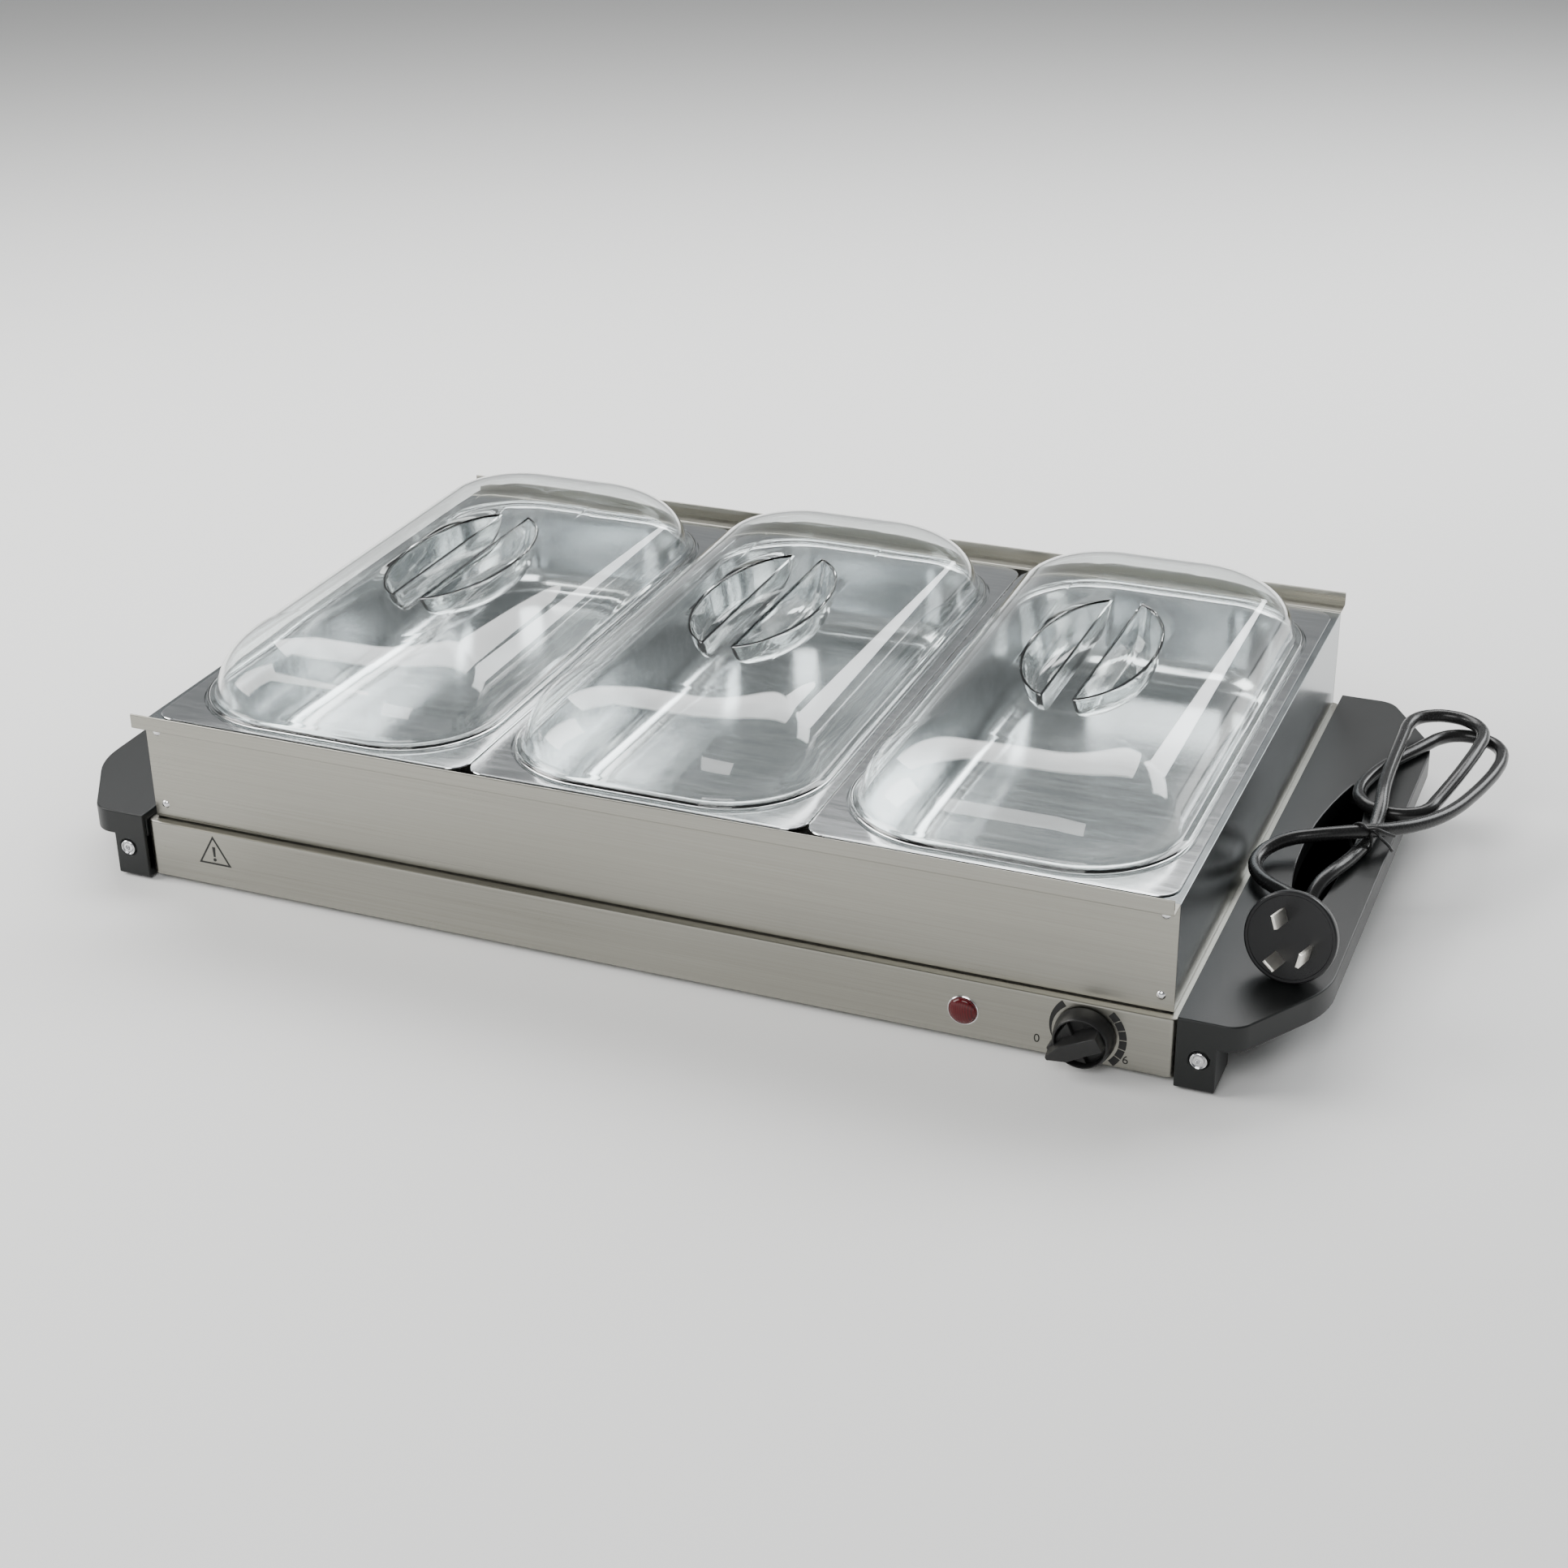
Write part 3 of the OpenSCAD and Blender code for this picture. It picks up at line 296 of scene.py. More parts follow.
handle_black = moulded("handle_plastic", (0.006, 0.007, 0.007), 0.40, 2400, 0.03)
knob_black = moulded("knob_plastic", (0.012, 0.012, 0.012), 0.34, 3200, 0.012)
plug_black = moulded("plug_plastic", (0.011, 0.011, 0.012), 0.30, 3200, 0.008)
sheath_black = moulded("cord_sheath", (0.012, 0.012, 0.012), 0.27, 900, 0.02)
rubber = moulded("pad_rubber", (0.05, 0.05, 0.05), 0.72, 1500, 0.05)
nylon = moulded("white_nylon", (0.74, 0.73, 0.68), 0.45, 1800, 0.01, 0.12)
phenolic = moulded("phenolic", (0.06, 0.055, 0.05), 0.38, 1800, 0.02)
ink = moulded("printed_ink", (0.012, 0.012, 0.012), 0.5, 3000, 0.003)
fibre = moulded("ceramic_fibre", (0.74, 0.71, 0.64), 0.9, 700, 0.4, 0.2)
wires = {"wire_brown": (0.24, 0.09, 0.035), "wire_blue": (0.02, 0.08, 0.35),
         "wire_green": (0.10, 0.30, 0.04), "wire_white": (0.66, 0.65, 0.60)}
insulation = {slot: moulded(slot, colour, 0.4, 1500, 0.01, 0.15) for slot, colour in wires.items()}
print("plastic finishes ready")

# %% [markdown]
# The lids are clear plastic with a faint grey-green tint. Real refraction at both faces of the wall
# gives the dark lines along the flange and the beads. Lamps can't shine through refracting glass
# without a great many samples, so for the shadow rays alone a see-through shader takes its place.

# %% Clear plastic and the lamp's lens
HAZE = 0.02  # the most roughness that clear plastic has


def clear(name, tint, shadow_tint):
    """Refracting plastic that lets the lamps' light straight through."""
    made = Finish(name, tint, 0.0, Transmission_Weight=1.0, IOR=1.46)
    made.set("Roughness", made.noise(30.0, detail=2.0) * HAZE)
    see_through = made.tree.nodes.new("ShaderNodeBsdfTransparent")
    see_through.inputs["Color"].default_value = (*shadow_tint, 1)
    rays = made.tree.nodes.new("ShaderNodeLightPath")
    mix = made.tree.nodes.new("ShaderNodeMixShader")
    made.tree.links.new(rays.outputs["Is Shadow Ray"], mix.inputs[0])
    made.tree.links.new(made.shader.outputs[0], mix.inputs[1])
    made.tree.links.new(see_through.outputs[0], mix.inputs[2])
    made.tree.links.new(mix.outputs[0], made.tree.nodes["Material Output"].inputs["Surface"])
    return made


lid_clear = clear("lid_plastic", (0.955, 0.975, 0.970), (0.93, 0.95, 0.945))
lamp_red = Finish("lamp_red", (0.12, 0.002, 0.006), 0.14, Coat_Weight=0.3, Specular_IOR_Level=0.3)
lamp_rings = lamp_red.node("TexWave", {"wave_type": "RINGS", "rings_direction": "SPHERICAL"},
                           Vector=lamp_red.place(), Scale=400.0, Distortion=0.2)
lamp_red.set("Base Color", lamp_red.between(lamp_rings, (0.055, 0.0008, 0.003),
                                            (0.10, 0.002, 0.005)))

FINISHES = {
    "brushed_steel": brushed, "side_steel": folded, "polished_steel": drawn, "plate_steel": plate,
    "clear_plastic": lid_clear, "handle_plastic": handle_black, "knob_plastic": knob_black,
    "cord_rubber": sheath_black, "plug_plastic": plug_black, "pad_rubber": rubber,
    "screw_steel": plated, "pin_brass": nickel, "lamp_red": lamp_red, "white_plastic": nylon,
    "dark_plastic": phenolic, "black_ink": ink, "element_steel": sheath, "mat_fibre": fibre,
    **insulation}
for node, thing in nodes.items():
    thing.data.materials.clear()
    thing.data.materials.append(FINISHES[slot_of[node]].material)
print("finishes on", len(nodes), "packed pieces")

# %% [markdown]
# ## Shared tools for new pieces
#
# A new piece is built in a bmesh, in metres, where it stands. It then gets its finish, smooth
# shading with sharp edges kept and the body that it moves with, and the imported pieces that it
# stands for are hidden.

# %% Make an object from a bmesh
EDGE_ANGLE = math.radians(35)


def piece(bm, name, body, finish, replaces=(), sharp=32):
    """An object from a bmesh; edges that turn by more than sharp degrees stay sharp."""
    mesh = bpy.data.meshes.new(name)
    bm.to_mesh(mesh)
    bm.free()
    thing = add(name, mesh)
    mesh.materials.append(finish.material)
    mesh.shade_smooth()
    mesh.set_sharp_from_angle(angle=math.radians(sharp))
    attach(thing, body)
    if replaces:
        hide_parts(*replaces)
    print(name, len(mesh.polygons), "faces")
    return thing


def thicken(thing, wall):
    """Gives a surface a wall, in millimetres, behind its face."""
    solid = thing.modifiers.new("wall", "SOLIDIFY")
    solid.thickness = wall * MM
    solid.offset = -1
    return thing


def even_shading(thing):
    """Lets large flat faces keep their flat shading beside small curved ones."""
    normals = thing.modifiers.new("normals", "WEIGHTED_NORMAL")
    normals.keep_sharp = True
    normals.weight = 60
    return thing


def round_edges(thing, width, segments):
    """Rounds the edges that turn by more than EDGE_ANGLE."""
    edge = thing.modifiers.new("edges", "BEVEL")
    edge.width = width * MM
    edge.segments = segments
    edge.limit_method = "ANGLE"
    edge.angle_limit = EDGE_ANGLE
    edge.use_clamp_overlap = False
    return even_shading(thing)


def bevel(bm, geom, width, segments, affect="EDGES"):
    """Bevels a bmesh's edges or corners by a width in millimetres."""
    return bmesh.ops.bevel(bm, geom=geom, offset=width * MM, offset_type="OFFSET", affect=affect,
                           segments=segments, profile=0.5, material=-1)


def face_out(bm, probe, way):
    """Makes all faces agree, with the probe face looking the given way."""
    bmesh.ops.recalc_face_normals(bm, faces=bm.faces)
    if probe.normal.dot(Vector(way)) < 0:
        bmesh.ops.reverse_faces(bm, faces=bm.faces)


# %% [markdown]
# The pans, the lids and the base are all shells whose outline is a rounded rectangle that changes
# with height. One helper makes such an outline by bevelling the corners of a flat square, and
# another bridges a stack of them. Every outline has the same number of points, so the bridges are
# clean rings of four-sided faces. Where several rings follow each other on a flat rim, the rim
# rises by a hair from ring to ring, because a bridge between rings in one plane can come out twisted.

# %% Outlines and lofts
CORNER_STEPS = 20


def outline(bm, half_x, half_y, radius, z, x=0.0):
    """A rounded rectangle of edges, in millimetres, and the face that fills it."""
    corners = bmesh.ops.create_grid(bm, x_segments=1, y_segments=1, size=1.0)["verts"]
    for corner in corners:
        corner.co = Vector((x + corner.co.x * half_x, BODY_Y + corner.co.y * half_y, z)) * MM
    made = bevel(bm, corners, radius, CORNER_STEPS, "VERTICES")
    face = max(made["verts"][0].link_faces, key=lambda f: len(f.verts))
    return list(face.edges), face


def loft(bm, levels, x=0.0, close_last=False):
    """Bridges outlines given as (half_x, half_y, radius, z); returns the last one's face if kept."""
    rings, kept = [], None
    for i, level in enumerate(levels):
        edges, face = outline(bm, *level, x=x)
        rings.append(edges)
        if close_last and i == len(levels) - 1:
            kept = face
        else:
            bmesh.ops.delete(bm, geom=[face], context="FACES_ONLY")
    for low, high in zip(rings, rings[1:]):
        bmesh.ops.bridge_loops(bm, edges=low + high)
    return kept


def lathe(profile, steps, place):
    """A bmesh turned from (radius, height) points about the Z axis, then put in its place."""
    bm = bmesh.new()
    chain = [bm.verts.new((r * MM, 0, z * MM)) for r, z in profile]
    edges = [bm.edges.new(pair) for pair in zip(chain, chain[1:])]
    bmesh.ops.spin(bm, geom=chain + edges, cent=(0, 0, 0), axis=(0, 0, 1), angle=2 * math.pi,
                   steps=steps, use_merge=True)
    bmesh.ops.remove_doubles(bm, verts=bm.verts, dist=1e-7)
    bmesh.ops.recalc_face_normals(bm, faces=bm.faces)
    bmesh.ops.transform(bm, matrix=place, verts=bm.verts)
    return bm


def join(bm, other):
    """Adds a second bmesh to the first."""
    spare = bpy.data.meshes.new("spare")
    other.to_mesh(spare)
    other.free()
    bm.from_mesh(spare)
    bpy.data.meshes.remove(spare)
    return bm


# %% [markdown]
# ## The mains cord
#
# The cord leaves the base's end, rises through the hand-hold, makes two turns of a hank that a
# twist tie holds, and loops to the plug. Its route is a list of given points, the same as in the
# solid model, and a Bezier curve with automatic handles runs smoothly through them.

# %% Lay the cord
CORD = [
    [250, -114, 19], [262, -114, 19], [273, -114, 19], [284, -114, 19], [295.6, -111.4, 19],
    [305.1, -104.2, 19], [310.6, -93.6, 19.2], [311.2, -82, 20.4], [307.8, -72.5, 22.8],
    [301.5, -63.8, 26.4], [296.6, -55.2, 30.6], [294.8, -46.5, 34.9], [296.3, -37.5, 38.8],
    [299.6, -28.5, 40.7], [303, -18, 40.6], [306.3, -5.5, 40.4], [309, 8.5, 40.8],
    [310.5, 22, 42.7], [310.4, 35, 45.9], [309, 48, 47.7], [307.7, 64, 47.8], [307, 83, 47.7],
    [306.7, 102, 47.6], [306.5, 118, 47.5], [306.5, 131, 47.4], [309, 140.5, 47.4],
    [316, 147.5, 47.3], [325.5, 150, 47.2], [335, 147.5, 47.1], [342, 140.5, 47], [344.5, 131, 46.9],
    [344, 118, 46.6], [342, 103, 45.8], [339.2, 88, 44.3], [336, 74, 42.5], [333.2, 62.5, 41.2],
    [330.7, 53, 40.6], [324, 46, 40.4], [314.5, 43.5, 40.3], [305, 46, 40.3], [298, 53, 40.3],
    [295.6, 62.5, 40.3], [296.8, 76, 40.3], [301, 91, 40.3], [306.8, 105, 40.2],
    [312.4, 117, 40], [317.3, 128, 39.8], [322, 137.5, 39.6], [329, 144, 39.5], [338, 146, 39.4],
    [347, 143, 39.3], [353.4, 135.5, 39.3], [355.6, 125, 39.3], [354.8, 110, 39.3],
    [352, 94, 39.4], [348, 77, 39.7], [343.4, 60.5, 40.4], [337.4, 45, 41.6], [329.6, 30.5, 43.4],
    [320.2, 17.5, 45.7], [309.6, 6.5, 47.9], [298, -1, 48.4], [286, -5.8, 47.2],
    [276, -9.8, 45.4], [268.9, -16.2, 43.6], [265.2, -25, 42.4], [265.2, -34.5, 41.9],
    [269.3, -43.8, 42], [276.6, -52.2, 42.6], [286, -59.2, 43.4], [295.2, -66.6, 44.2],
    [301.3, -75.4, 45.2], [303.4, -84.5, 47], [302.7, -92.5, 49.1]]
CORD_THICK = 6.8


def bent_wire(name, points, thick, finish):
    """A round wire through points in millimetres, as a curve."""
    curve = bpy.data.curves.new(name, "CURVE")
    curve.dimensions = "3D"
    curve.resolution_u = 5
    curve.bevel_depth = thick / 2 * MM
    curve.bevel_resolution = 5
    curve.use_fill_caps = True
    spline = curve.splines.new("BEZIER")
    spline.bezier_points.add(len(points) - 1)
    for knot, place in zip(spline.bezier_points, points):
        knot.co = Vector(place) * MM
        knot.handle_left_type = knot.handle_right_type = "AUTO"
    curve.materials.append(finish.material)
    thing = add(name, curve)
    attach(thing, "base")
    return thing


cord = bent_wire("mains_cord", CORD, CORD_THICK, sheath_black)
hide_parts("power_cord")
cord_length = sum((Vector(b) - Vector(a)).length for a, b in zip(CORD, CORD[1:])) * MM
print("cord length", round(cord_length, 3), "m")

# %% [markdown]
# The plug is turned on a lathe in the script: a flat round face with a raised edge, a thick rim, and
# a back that narrows to a ribbed tail. It is built upright and then tipped back as it lies.

# %% Make the plug
PLUG_AT, PLUG_TILT, PLUG_TURN = Vector((300, -123, 57.3)), math.radians(75), math.radians(-5)
PLUG_R = 21.0
RIBS, RIB_STEP, FIRST_RIB, TAIL_END = 5, 3.5, -22.2, -39.6
PIN_OUT, PIN_SIZE, PIN_MIDDLE = 10.4, Vector((6.3, 1.6, 20)), 7.0
PINS = ((112, 0), (251, 71), (333, -71))  # each pin's place round the face, and its own turn
plug_place = (Matrix.Translation(PLUG_AT * MM) @ Matrix.Rotation(PLUG_TURN, 4, "Z")
              @ Matrix.Rotation(PLUG_TILT, 4, "X"))
plug_profile = [(0, -0.4), (PLUG_R - 2.2, -0.4), (PLUG_R - 1.9, 0), (PLUG_R - 0.9, 0),
                (PLUG_R - 0.2, -0.5), (PLUG_R, -1.4), (PLUG_R - 0.3, -4.6), (PLUG_R - 0.9, -5.4),
                (PLUG_R - 1.6, -5.9), (PLUG_R - 3.5, -9.5), (PLUG_R - 5.4, -12.4), (11.5, -16),
                (8, -19.6), (6.6, -21)]
for rib in range(RIBS):
    top, outer, inner = FIRST_RIB - rib * RIB_STEP, 6.1 - rib * 0.3, 4.9 - rib * 0.2
    plug_profile += [(outer, top), (outer, top - 2.2), (inner, top - 2.6)]
plug_profile += [(4.3, TAIL_END), (0, TAIL_END)]
plug = piece(lathe(plug_profile, 80, plug_place), "plug", "base", plug_black,
             ("plug_body",))


def pin_shape(angle, turn):
    """One flat pin, with its end narrowed for the socket."""
    bm = bmesh.new()
    bmesh.ops.create_cube(bm, size=1.0)
    for v in bm.verts:
        v.co = Vector((v.co.x * PIN_SIZE.x, v.co.y * PIN_SIZE.y,
                       v.co.z * PIN_SIZE.z + PIN_MIDDLE)) * MM
    long_edges = [e for e in bm.edges if abs(e.verts[0].co.z - e.verts[1].co.z) > 10 * MM]
    tip_edges = [e for e in bm.edges if min(v.co.z for v in e.verts) > 16 * MM]
    bevel(bm, tip_edges, 0.55, 2)
    bevel(bm, [e for e in long_edges if e.is_valid], 0.2, 2)
    place = (plug_place @ Matrix.Rotation(math.radians(angle), 4, "Z")
             @ Matrix.Translation((PIN_OUT * MM, 0, 0)) @ Matrix.Rotation(math.radians(turn), 4, "Z"))
    bmesh.ops.transform(bm, matrix=place, verts=bm.verts)
    return bm


all_pins = bmesh.new()
for angle, turn in PINS:
    join(all_pins, pin_shape(angle, turn))
pins = piece(all_pins, "plug_blades", "base", nickel, ("plug_pins",))

# %% [markdown]
# The twist tie is a thin coated wire. It goes once round the crossing strands, and its two ends
# are twisted together and stick out.

# %% Tie the hank
TIE_AT, TIE_THICK = Vector((307, 3.5, 44.2)), 1.5
TIE_WIDE, TIE_SLANT, TIE_TALL, TIE_PITCH = 5.6, -2.6, 8.3, 0.15
tie_turns = [TIE_AT + Vector((TIE_WIDE * math.cos(a), TIE_SLANT * math.cos(a) + TIE_PITCH * i,
                              TIE_TALL * math.sin(a)))
             for i, a in enumerate(math.radians(d) for d in range(60, 420, 24))]
tail = [tie_turns[-1] + Vector(p)
        for p in ((3.5, -2.5, 1.2), (6, -4, -0.5), (9.5, -4.5, -3), (12, -7, -4.5))]
head = [tie_turns[0] + Vector(p) for p in ((12.5, 4.5, -4), (9, 1.5, -1.5), (4, -0.5, 0.8))]
tie = bent_wire("twist_tie", head + tie_turns + tail, TIE_THICK, sheath_black)
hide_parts("cord_tie")

# %% [markdown]
# ## The lids
#
# Each lid is one thin moulding: a flat flange, a small bead, a wall that leans in and rounds over to
# a nearly flat crown, and an oval finger recess that a bar divides into two half-moons. The wall
# follows a superellipse, because a circle would be too steep at the foot and too pointed above.
# Two planes cut the half-moons from the flat oval. Each is then drawn down in steps that shrink
# towards its deepest point, which makes a rounded finger pocket.

# %% Mould the lids
SIDES = ("left", "middle", "right")
LID_WALL, LID_RISE, LID_RIM, LID_BULGE, LID_CORNER = 1.8, 35.0, 5.0, 2.2, 45.0
CROWN_IN, BAR_HALF = 42.0, 8.0
END_LEAN, CORNER_LEAN = 1.1, 0.56  # how far the ends and the corners come in, beside the long sides
RECESS_X, RECESS_Y = 30.0, 62.5
WALL_STEPS, WALL_SPREAD = 16, 2.1  # rings up the wall, closer together near its foot
BEAD_TOP = 4.6
# a finger pocket's outline at each depth, as a share of the half-moon
POCKET = ((0.99, 0.15), (0.975, 0.7), (0.96, 2.0), (0.94, 4.5), (0.91, 7.5), (0.87, 10.5),
          (0.81, 13.2), (0.72, 15.4), (0.60, 16.9), (0.45, 17.7), (0.25, 18.0))
POCKET_IN = 7.0  # from the bar to the deepest point


def lid_rise(inward):
    """Height of the wall where it has come in by this much from the flange."""
    left = 1 - inward / CROWN_IN
    return LID_RISE * (1 - left ** LID_BULGE) ** (1 / LID_BULGE)


def half_moons(bm, oval):
    """Cuts the oval along the bar's two sides and pushes the outer parts down."""
    middle = oval.calc_center_median()
    pieces = [oval]
    for side in (-1, 1):
        geom = set(pieces)
        for f in pieces:
            geom.update(f.edges, f.verts)
        cut = bmesh.ops.bisect_plane(bm, geom=list(geom), dist=1e-7, plane_no=(1, 0, 0),
                                     plane_co=(middle.x + side * BAR_HALF * MM, 0, 0))["geom"]
        pieces = [g for g in cut if isinstance(g, bmesh.types.BMFace)]
    moons = [f for f in pieces if abs(f.calc_center_median().x - middle.x) > BAR_HALF * MM]
    for moon in moons:
        side = math.copysign(1, moon.calc_center_median().x - middle.x)
        deepest = Vector((middle.x + side * (BAR_HALF + POCKET_IN) * MM, middle.y, 0))
        size, depth = 1.0, 0.0
        for new_size, new_depth in POCKET:
            moon = bmesh.ops.extrude_discrete_faces(bm, faces=[moon])["faces"][0]
            shrink = new_size / size
            bmesh.ops.scale(bm, vec=(shrink, shrink, 1), space=Matrix.Translation(-deepest),
                            verts=moon.verts)
            bmesh.ops.translate(bm, vec=(0, 0, (depth - new_depth) * MM), verts=moon.verts)
            size, depth = new_size, new_depth
    return len(moons)


def lid(side):
    """The whole lid, from its flange to its pockets."""
    low, high = box_mm("lid_" + side)
    x = (low.x + high.x) / 2
    half_x, half_y, foot = (high.x - low.x) / 2, (high.y - low.y) / 2, high.z - LID_RISE
    wall_x, wall_y = half_x - LID_RIM, half_y - LID_RIM
    levels = [(half_x - 0.5, half_y - 0.5, 49.5, foot), (half_x, half_y, 50, foot + 0.5),
              (half_x, half_y, 50, foot + 1.4), (half_x - 0.6, half_y - 0.6, 49.4, foot + 2),
              (wall_x + 1.4, wall_y + 1.4, 46.4, foot + 2),
              (wall_x + 0.5, wall_y + 0.5, 45.5, foot + 2.6),
              (wall_x + 0.1, wall_y + 0.1, 45.1, foot + 4)]
    for i in range(1, WALL_STEPS + 1):
        inward = CROWN_IN * (i / WALL_STEPS) ** WALL_SPREAD
        z = high.z if i == WALL_STEPS else foot + max(BEAD_TOP, lid_rise(inward))
        levels.append((wall_x - inward, wall_y - inward * END_LEAN,
                       LID_CORNER - inward * CORNER_LEAN, z))
    bm = bmesh.new()
    loft(bm, levels, x)
    crown_edges = [e for e in bm.edges if e.is_boundary and e.verts[0].co.z > (high.z - 0.01) * MM]
    oval_edges, oval = outline(bm, RECESS_X, RECESS_X, RECESS_X * 0.999, high.z, x)
    for v in oval.verts:
        v.co.y = BODY_Y * MM + (v.co.y - BODY_Y * MM) * RECESS_Y / RECESS_X
    crown = bmesh.ops.bridge_loops(bm, edges=crown_edges + oval_edges)["edges"]
    bmesh.ops.subdivide_edges(bm, edges=crown, cuts=3, use_grid_fill=True)
    face_out(bm, oval, (0, 0, 1))
    found = half_moons(bm, oval)
    print(side, "lid:", found, "half-moons")
    thing = piece(bm, "clear_lid_" + side, "lid_" + side, lid_clear,
                  ("lid_" + side,), sharp=50)
    return even_shading(thicken(thing, LID_WALL))


for side in SIDES:
    lid(side)

# %% [markdown]
# ## The pans
#
# A pan is drawn from one sheet: a flat rim with small corners, a shallow bead round the opening, a
# leaning wall with a large corner radius, and a floor that the wall meets in a wide curve.

# %% Draw the pans
PAN_WALL, PAN_SHEET = 0.8, 0.7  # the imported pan's wall, and the thinner sheet drawn here
RIM_X, RIM_Y, PAN_CORNER = 10.5, 9.0, 45.0
RIM_RINGS = (0, 0.2, 0.45, 0.7, 1)  # where the rings lie across the flat rim
# the wall and the curve into the floor, as (distance in from the opening, height over the floor)
PAN_SIDE = ((1.2, 38), (3.2, 22), (4.6, 13.5), (6, 9), (8, 5.4), (10.6, 2.8), (13.6, 1), (17, 0.25),
            (20, 0))


def pan(side):
    """The whole pan, from its rim's edge to its floor."""
    low, high = box_mm("pan_" + side)
    x = (low.x + high.x) / 2
    half_x, half_y, top, floor = (high.x - low.x) / 2, (high.y - low.y) / 2, high.z, low.z + PAN_WALL
    open_x, open_y = half_x - RIM_X, half_y - RIM_Y
    levels = [(half_x - 0.1, half_y - 0.1, 9.9, top - 0.75), (half_x, half_y, 10, top - 0.5),
              (half_x - 0.3, half_y - 0.3, 9.8, top - 0.1)]
    rim = (half_x - 0.8, half_y - 0.8, 9.4, top - 0.06)
    step = (open_x + 6.2, open_y + 6.2, 50.5, top)
    levels += [tuple(a + (b - a) * share for a, b in zip(rim, step)) for share in RIM_RINGS]
    levels += [(open_x + 5.6, open_y + 5.6, 50, top - 0.55),
               (open_x + 1.8, open_y + 1.8, 46.5, top - 0.6),
               (open_x + 0.6, open_y + 0.6, 45.5, top - 1), (open_x, open_y, PAN_CORNER, top - 2.2)]
    levels += [(open_x - inward, open_y - inward, PAN_CORNER - inward, floor + up)
               for inward, up in PAN_SIDE]
    bm = bmesh.new()
    face_out(bm, loft(bm, levels, x, close_last=True), (0, 0, 1))
    thing = piece(bm, "drawn_pan_" + side, "pan_" + side, drawn, ("pan_" + side,),
                  sharp=40)
    return even_shading(thicken(thing, PAN_SHEET))


for side in SIDES:
    pan(side)

# %% [markdown]
# ## The frame's folded panels
#
# The front and rear panels step out at the top and end in an upstand with a hem. A folded sheet has
# the same section all along, so the section is drawn once as a chain of edges, pulled along the
# length, bevelled at each fold and given the sheet's thickness.

# %% Fold the front and rear panels
SHEET = 0.6
FOLD = 0.6  # the bevel at each fold
SEAM = 0.7  # the panels' lower edge is cut a little short, which leaves a dark line over the base
PANEL_IN = 5.0  # from the base's face to the panel's
SEAT_Z, HEM_WIDE, HEM_FOOT = 87.0, 1.25, 2.6  # the step's height, and the hem's width and lower end


def folded_sheet(section, x0, x1):
    """A sheet with this (y, z) section, from x0 to x1."""
    bm = bmesh.new()
    chain = [bm.verts.new((x0 * MM, y * MM, z * MM)) for y, z in section]
    edges = [bm.edges.new(pair) for pair in zip(chain, chain[1:])]
    pulled = bmesh.ops.extrude_edge_only(bm, edges=edges)["geom"]
    bmesh.ops.translate(bm, vec=((x1 - x0) * MM, 0, 0),
                        verts=[g for g in pulled if isinstance(g, bmesh.types.BMVert)])
    bevel(bm, [e for e in bm.edges if len(e.link_faces) == 2], FOLD, 4)
    return bm


def long_panel(node, toward):
    """The front panel (toward -1) or the rear one (toward 1)."""
    low, high = box_mm(node)
    face = BODY_Y + toward * (BASE_Y - PANEL_IN)
    lip = low.y if toward < 0 else high.y
    hem = lip - toward * HEM_WIDE
    section = [(face, low.z + SEAM), (face, SEAT_Z), (lip, SEAT_Z), (lip, high.z), (hem, high.z),
               (hem, SEAT_Z + HEM_FOOT)]
    bm = folded_sheet(section, low.x, high.x)
    face_out(bm, min(bm.faces, key=lambda f: f.calc_center_median().z), (0, toward, 0))
    thing = piece(bm, "folded_" + node, "pan_frame", brushed, (node,))
    return even_shading(thicken(thing, SHEET))


long_panel("frame_front", -1)
long_panel("frame_rear", 1)

# %% [markdown]
# ## The base's shell
#
# The base is one folded band with a flange turned in at the top and at the bottom. It is lofted
# like the pans, from the lower flange's inner edge round to the upper one's.

# %% Fold the base
TOP_FLANGE, LOW_FLANGE, BASE_CORNER = 16.0, 9.0, 4.0
base_levels = [(BASE_X - LOW_FLANGE, BASE_Y - LOW_FLANGE, 0.6, base_low.z),
               (BASE_X - 0.9, BASE_Y - 0.9, BASE_CORNER - 0.8, base_low.z),
               (BASE_X - 0.25, BASE_Y - 0.25, BASE_CORNER - 0.2, base_low.z + 0.3),
               (BASE_X, BASE_Y, BASE_CORNER, base_low.z + 1),
               (BASE_X, BASE_Y, BASE_CORNER, BASE_TOP - 1.2),
               (BASE_X - 0.3, BASE_Y - 0.3, BASE_CORNER - 0.2, BASE_TOP - 0.4),
               (BASE_X - 1.1, BASE_Y - 1.1, BASE_CORNER - 1, BASE_TOP),
               (BASE_X - TOP_FLANGE, BASE_Y - TOP_FLANGE, 0.6, BASE_TOP)]
bm = bmesh.new()
loft(bm, base_levels)
face_out(bm, max(bm.faces, key=lambda f: f.calc_center_median().x), (1, 0, 0))
base_shell = piece(bm, "base_shell", "base", brushed, ("base_housing",))
even_shading(thicken(base_shell, SHEET))

# %% [markdown]
# ## Pieces that only need softer edges
#
# Moulded and stamped pieces have no perfectly sharp edges, and it is the small rounding that
# catches the light. Their shape is right already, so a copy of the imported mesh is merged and
# cleaned, and a Bevel modifier rounds it.

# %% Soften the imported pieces' edges


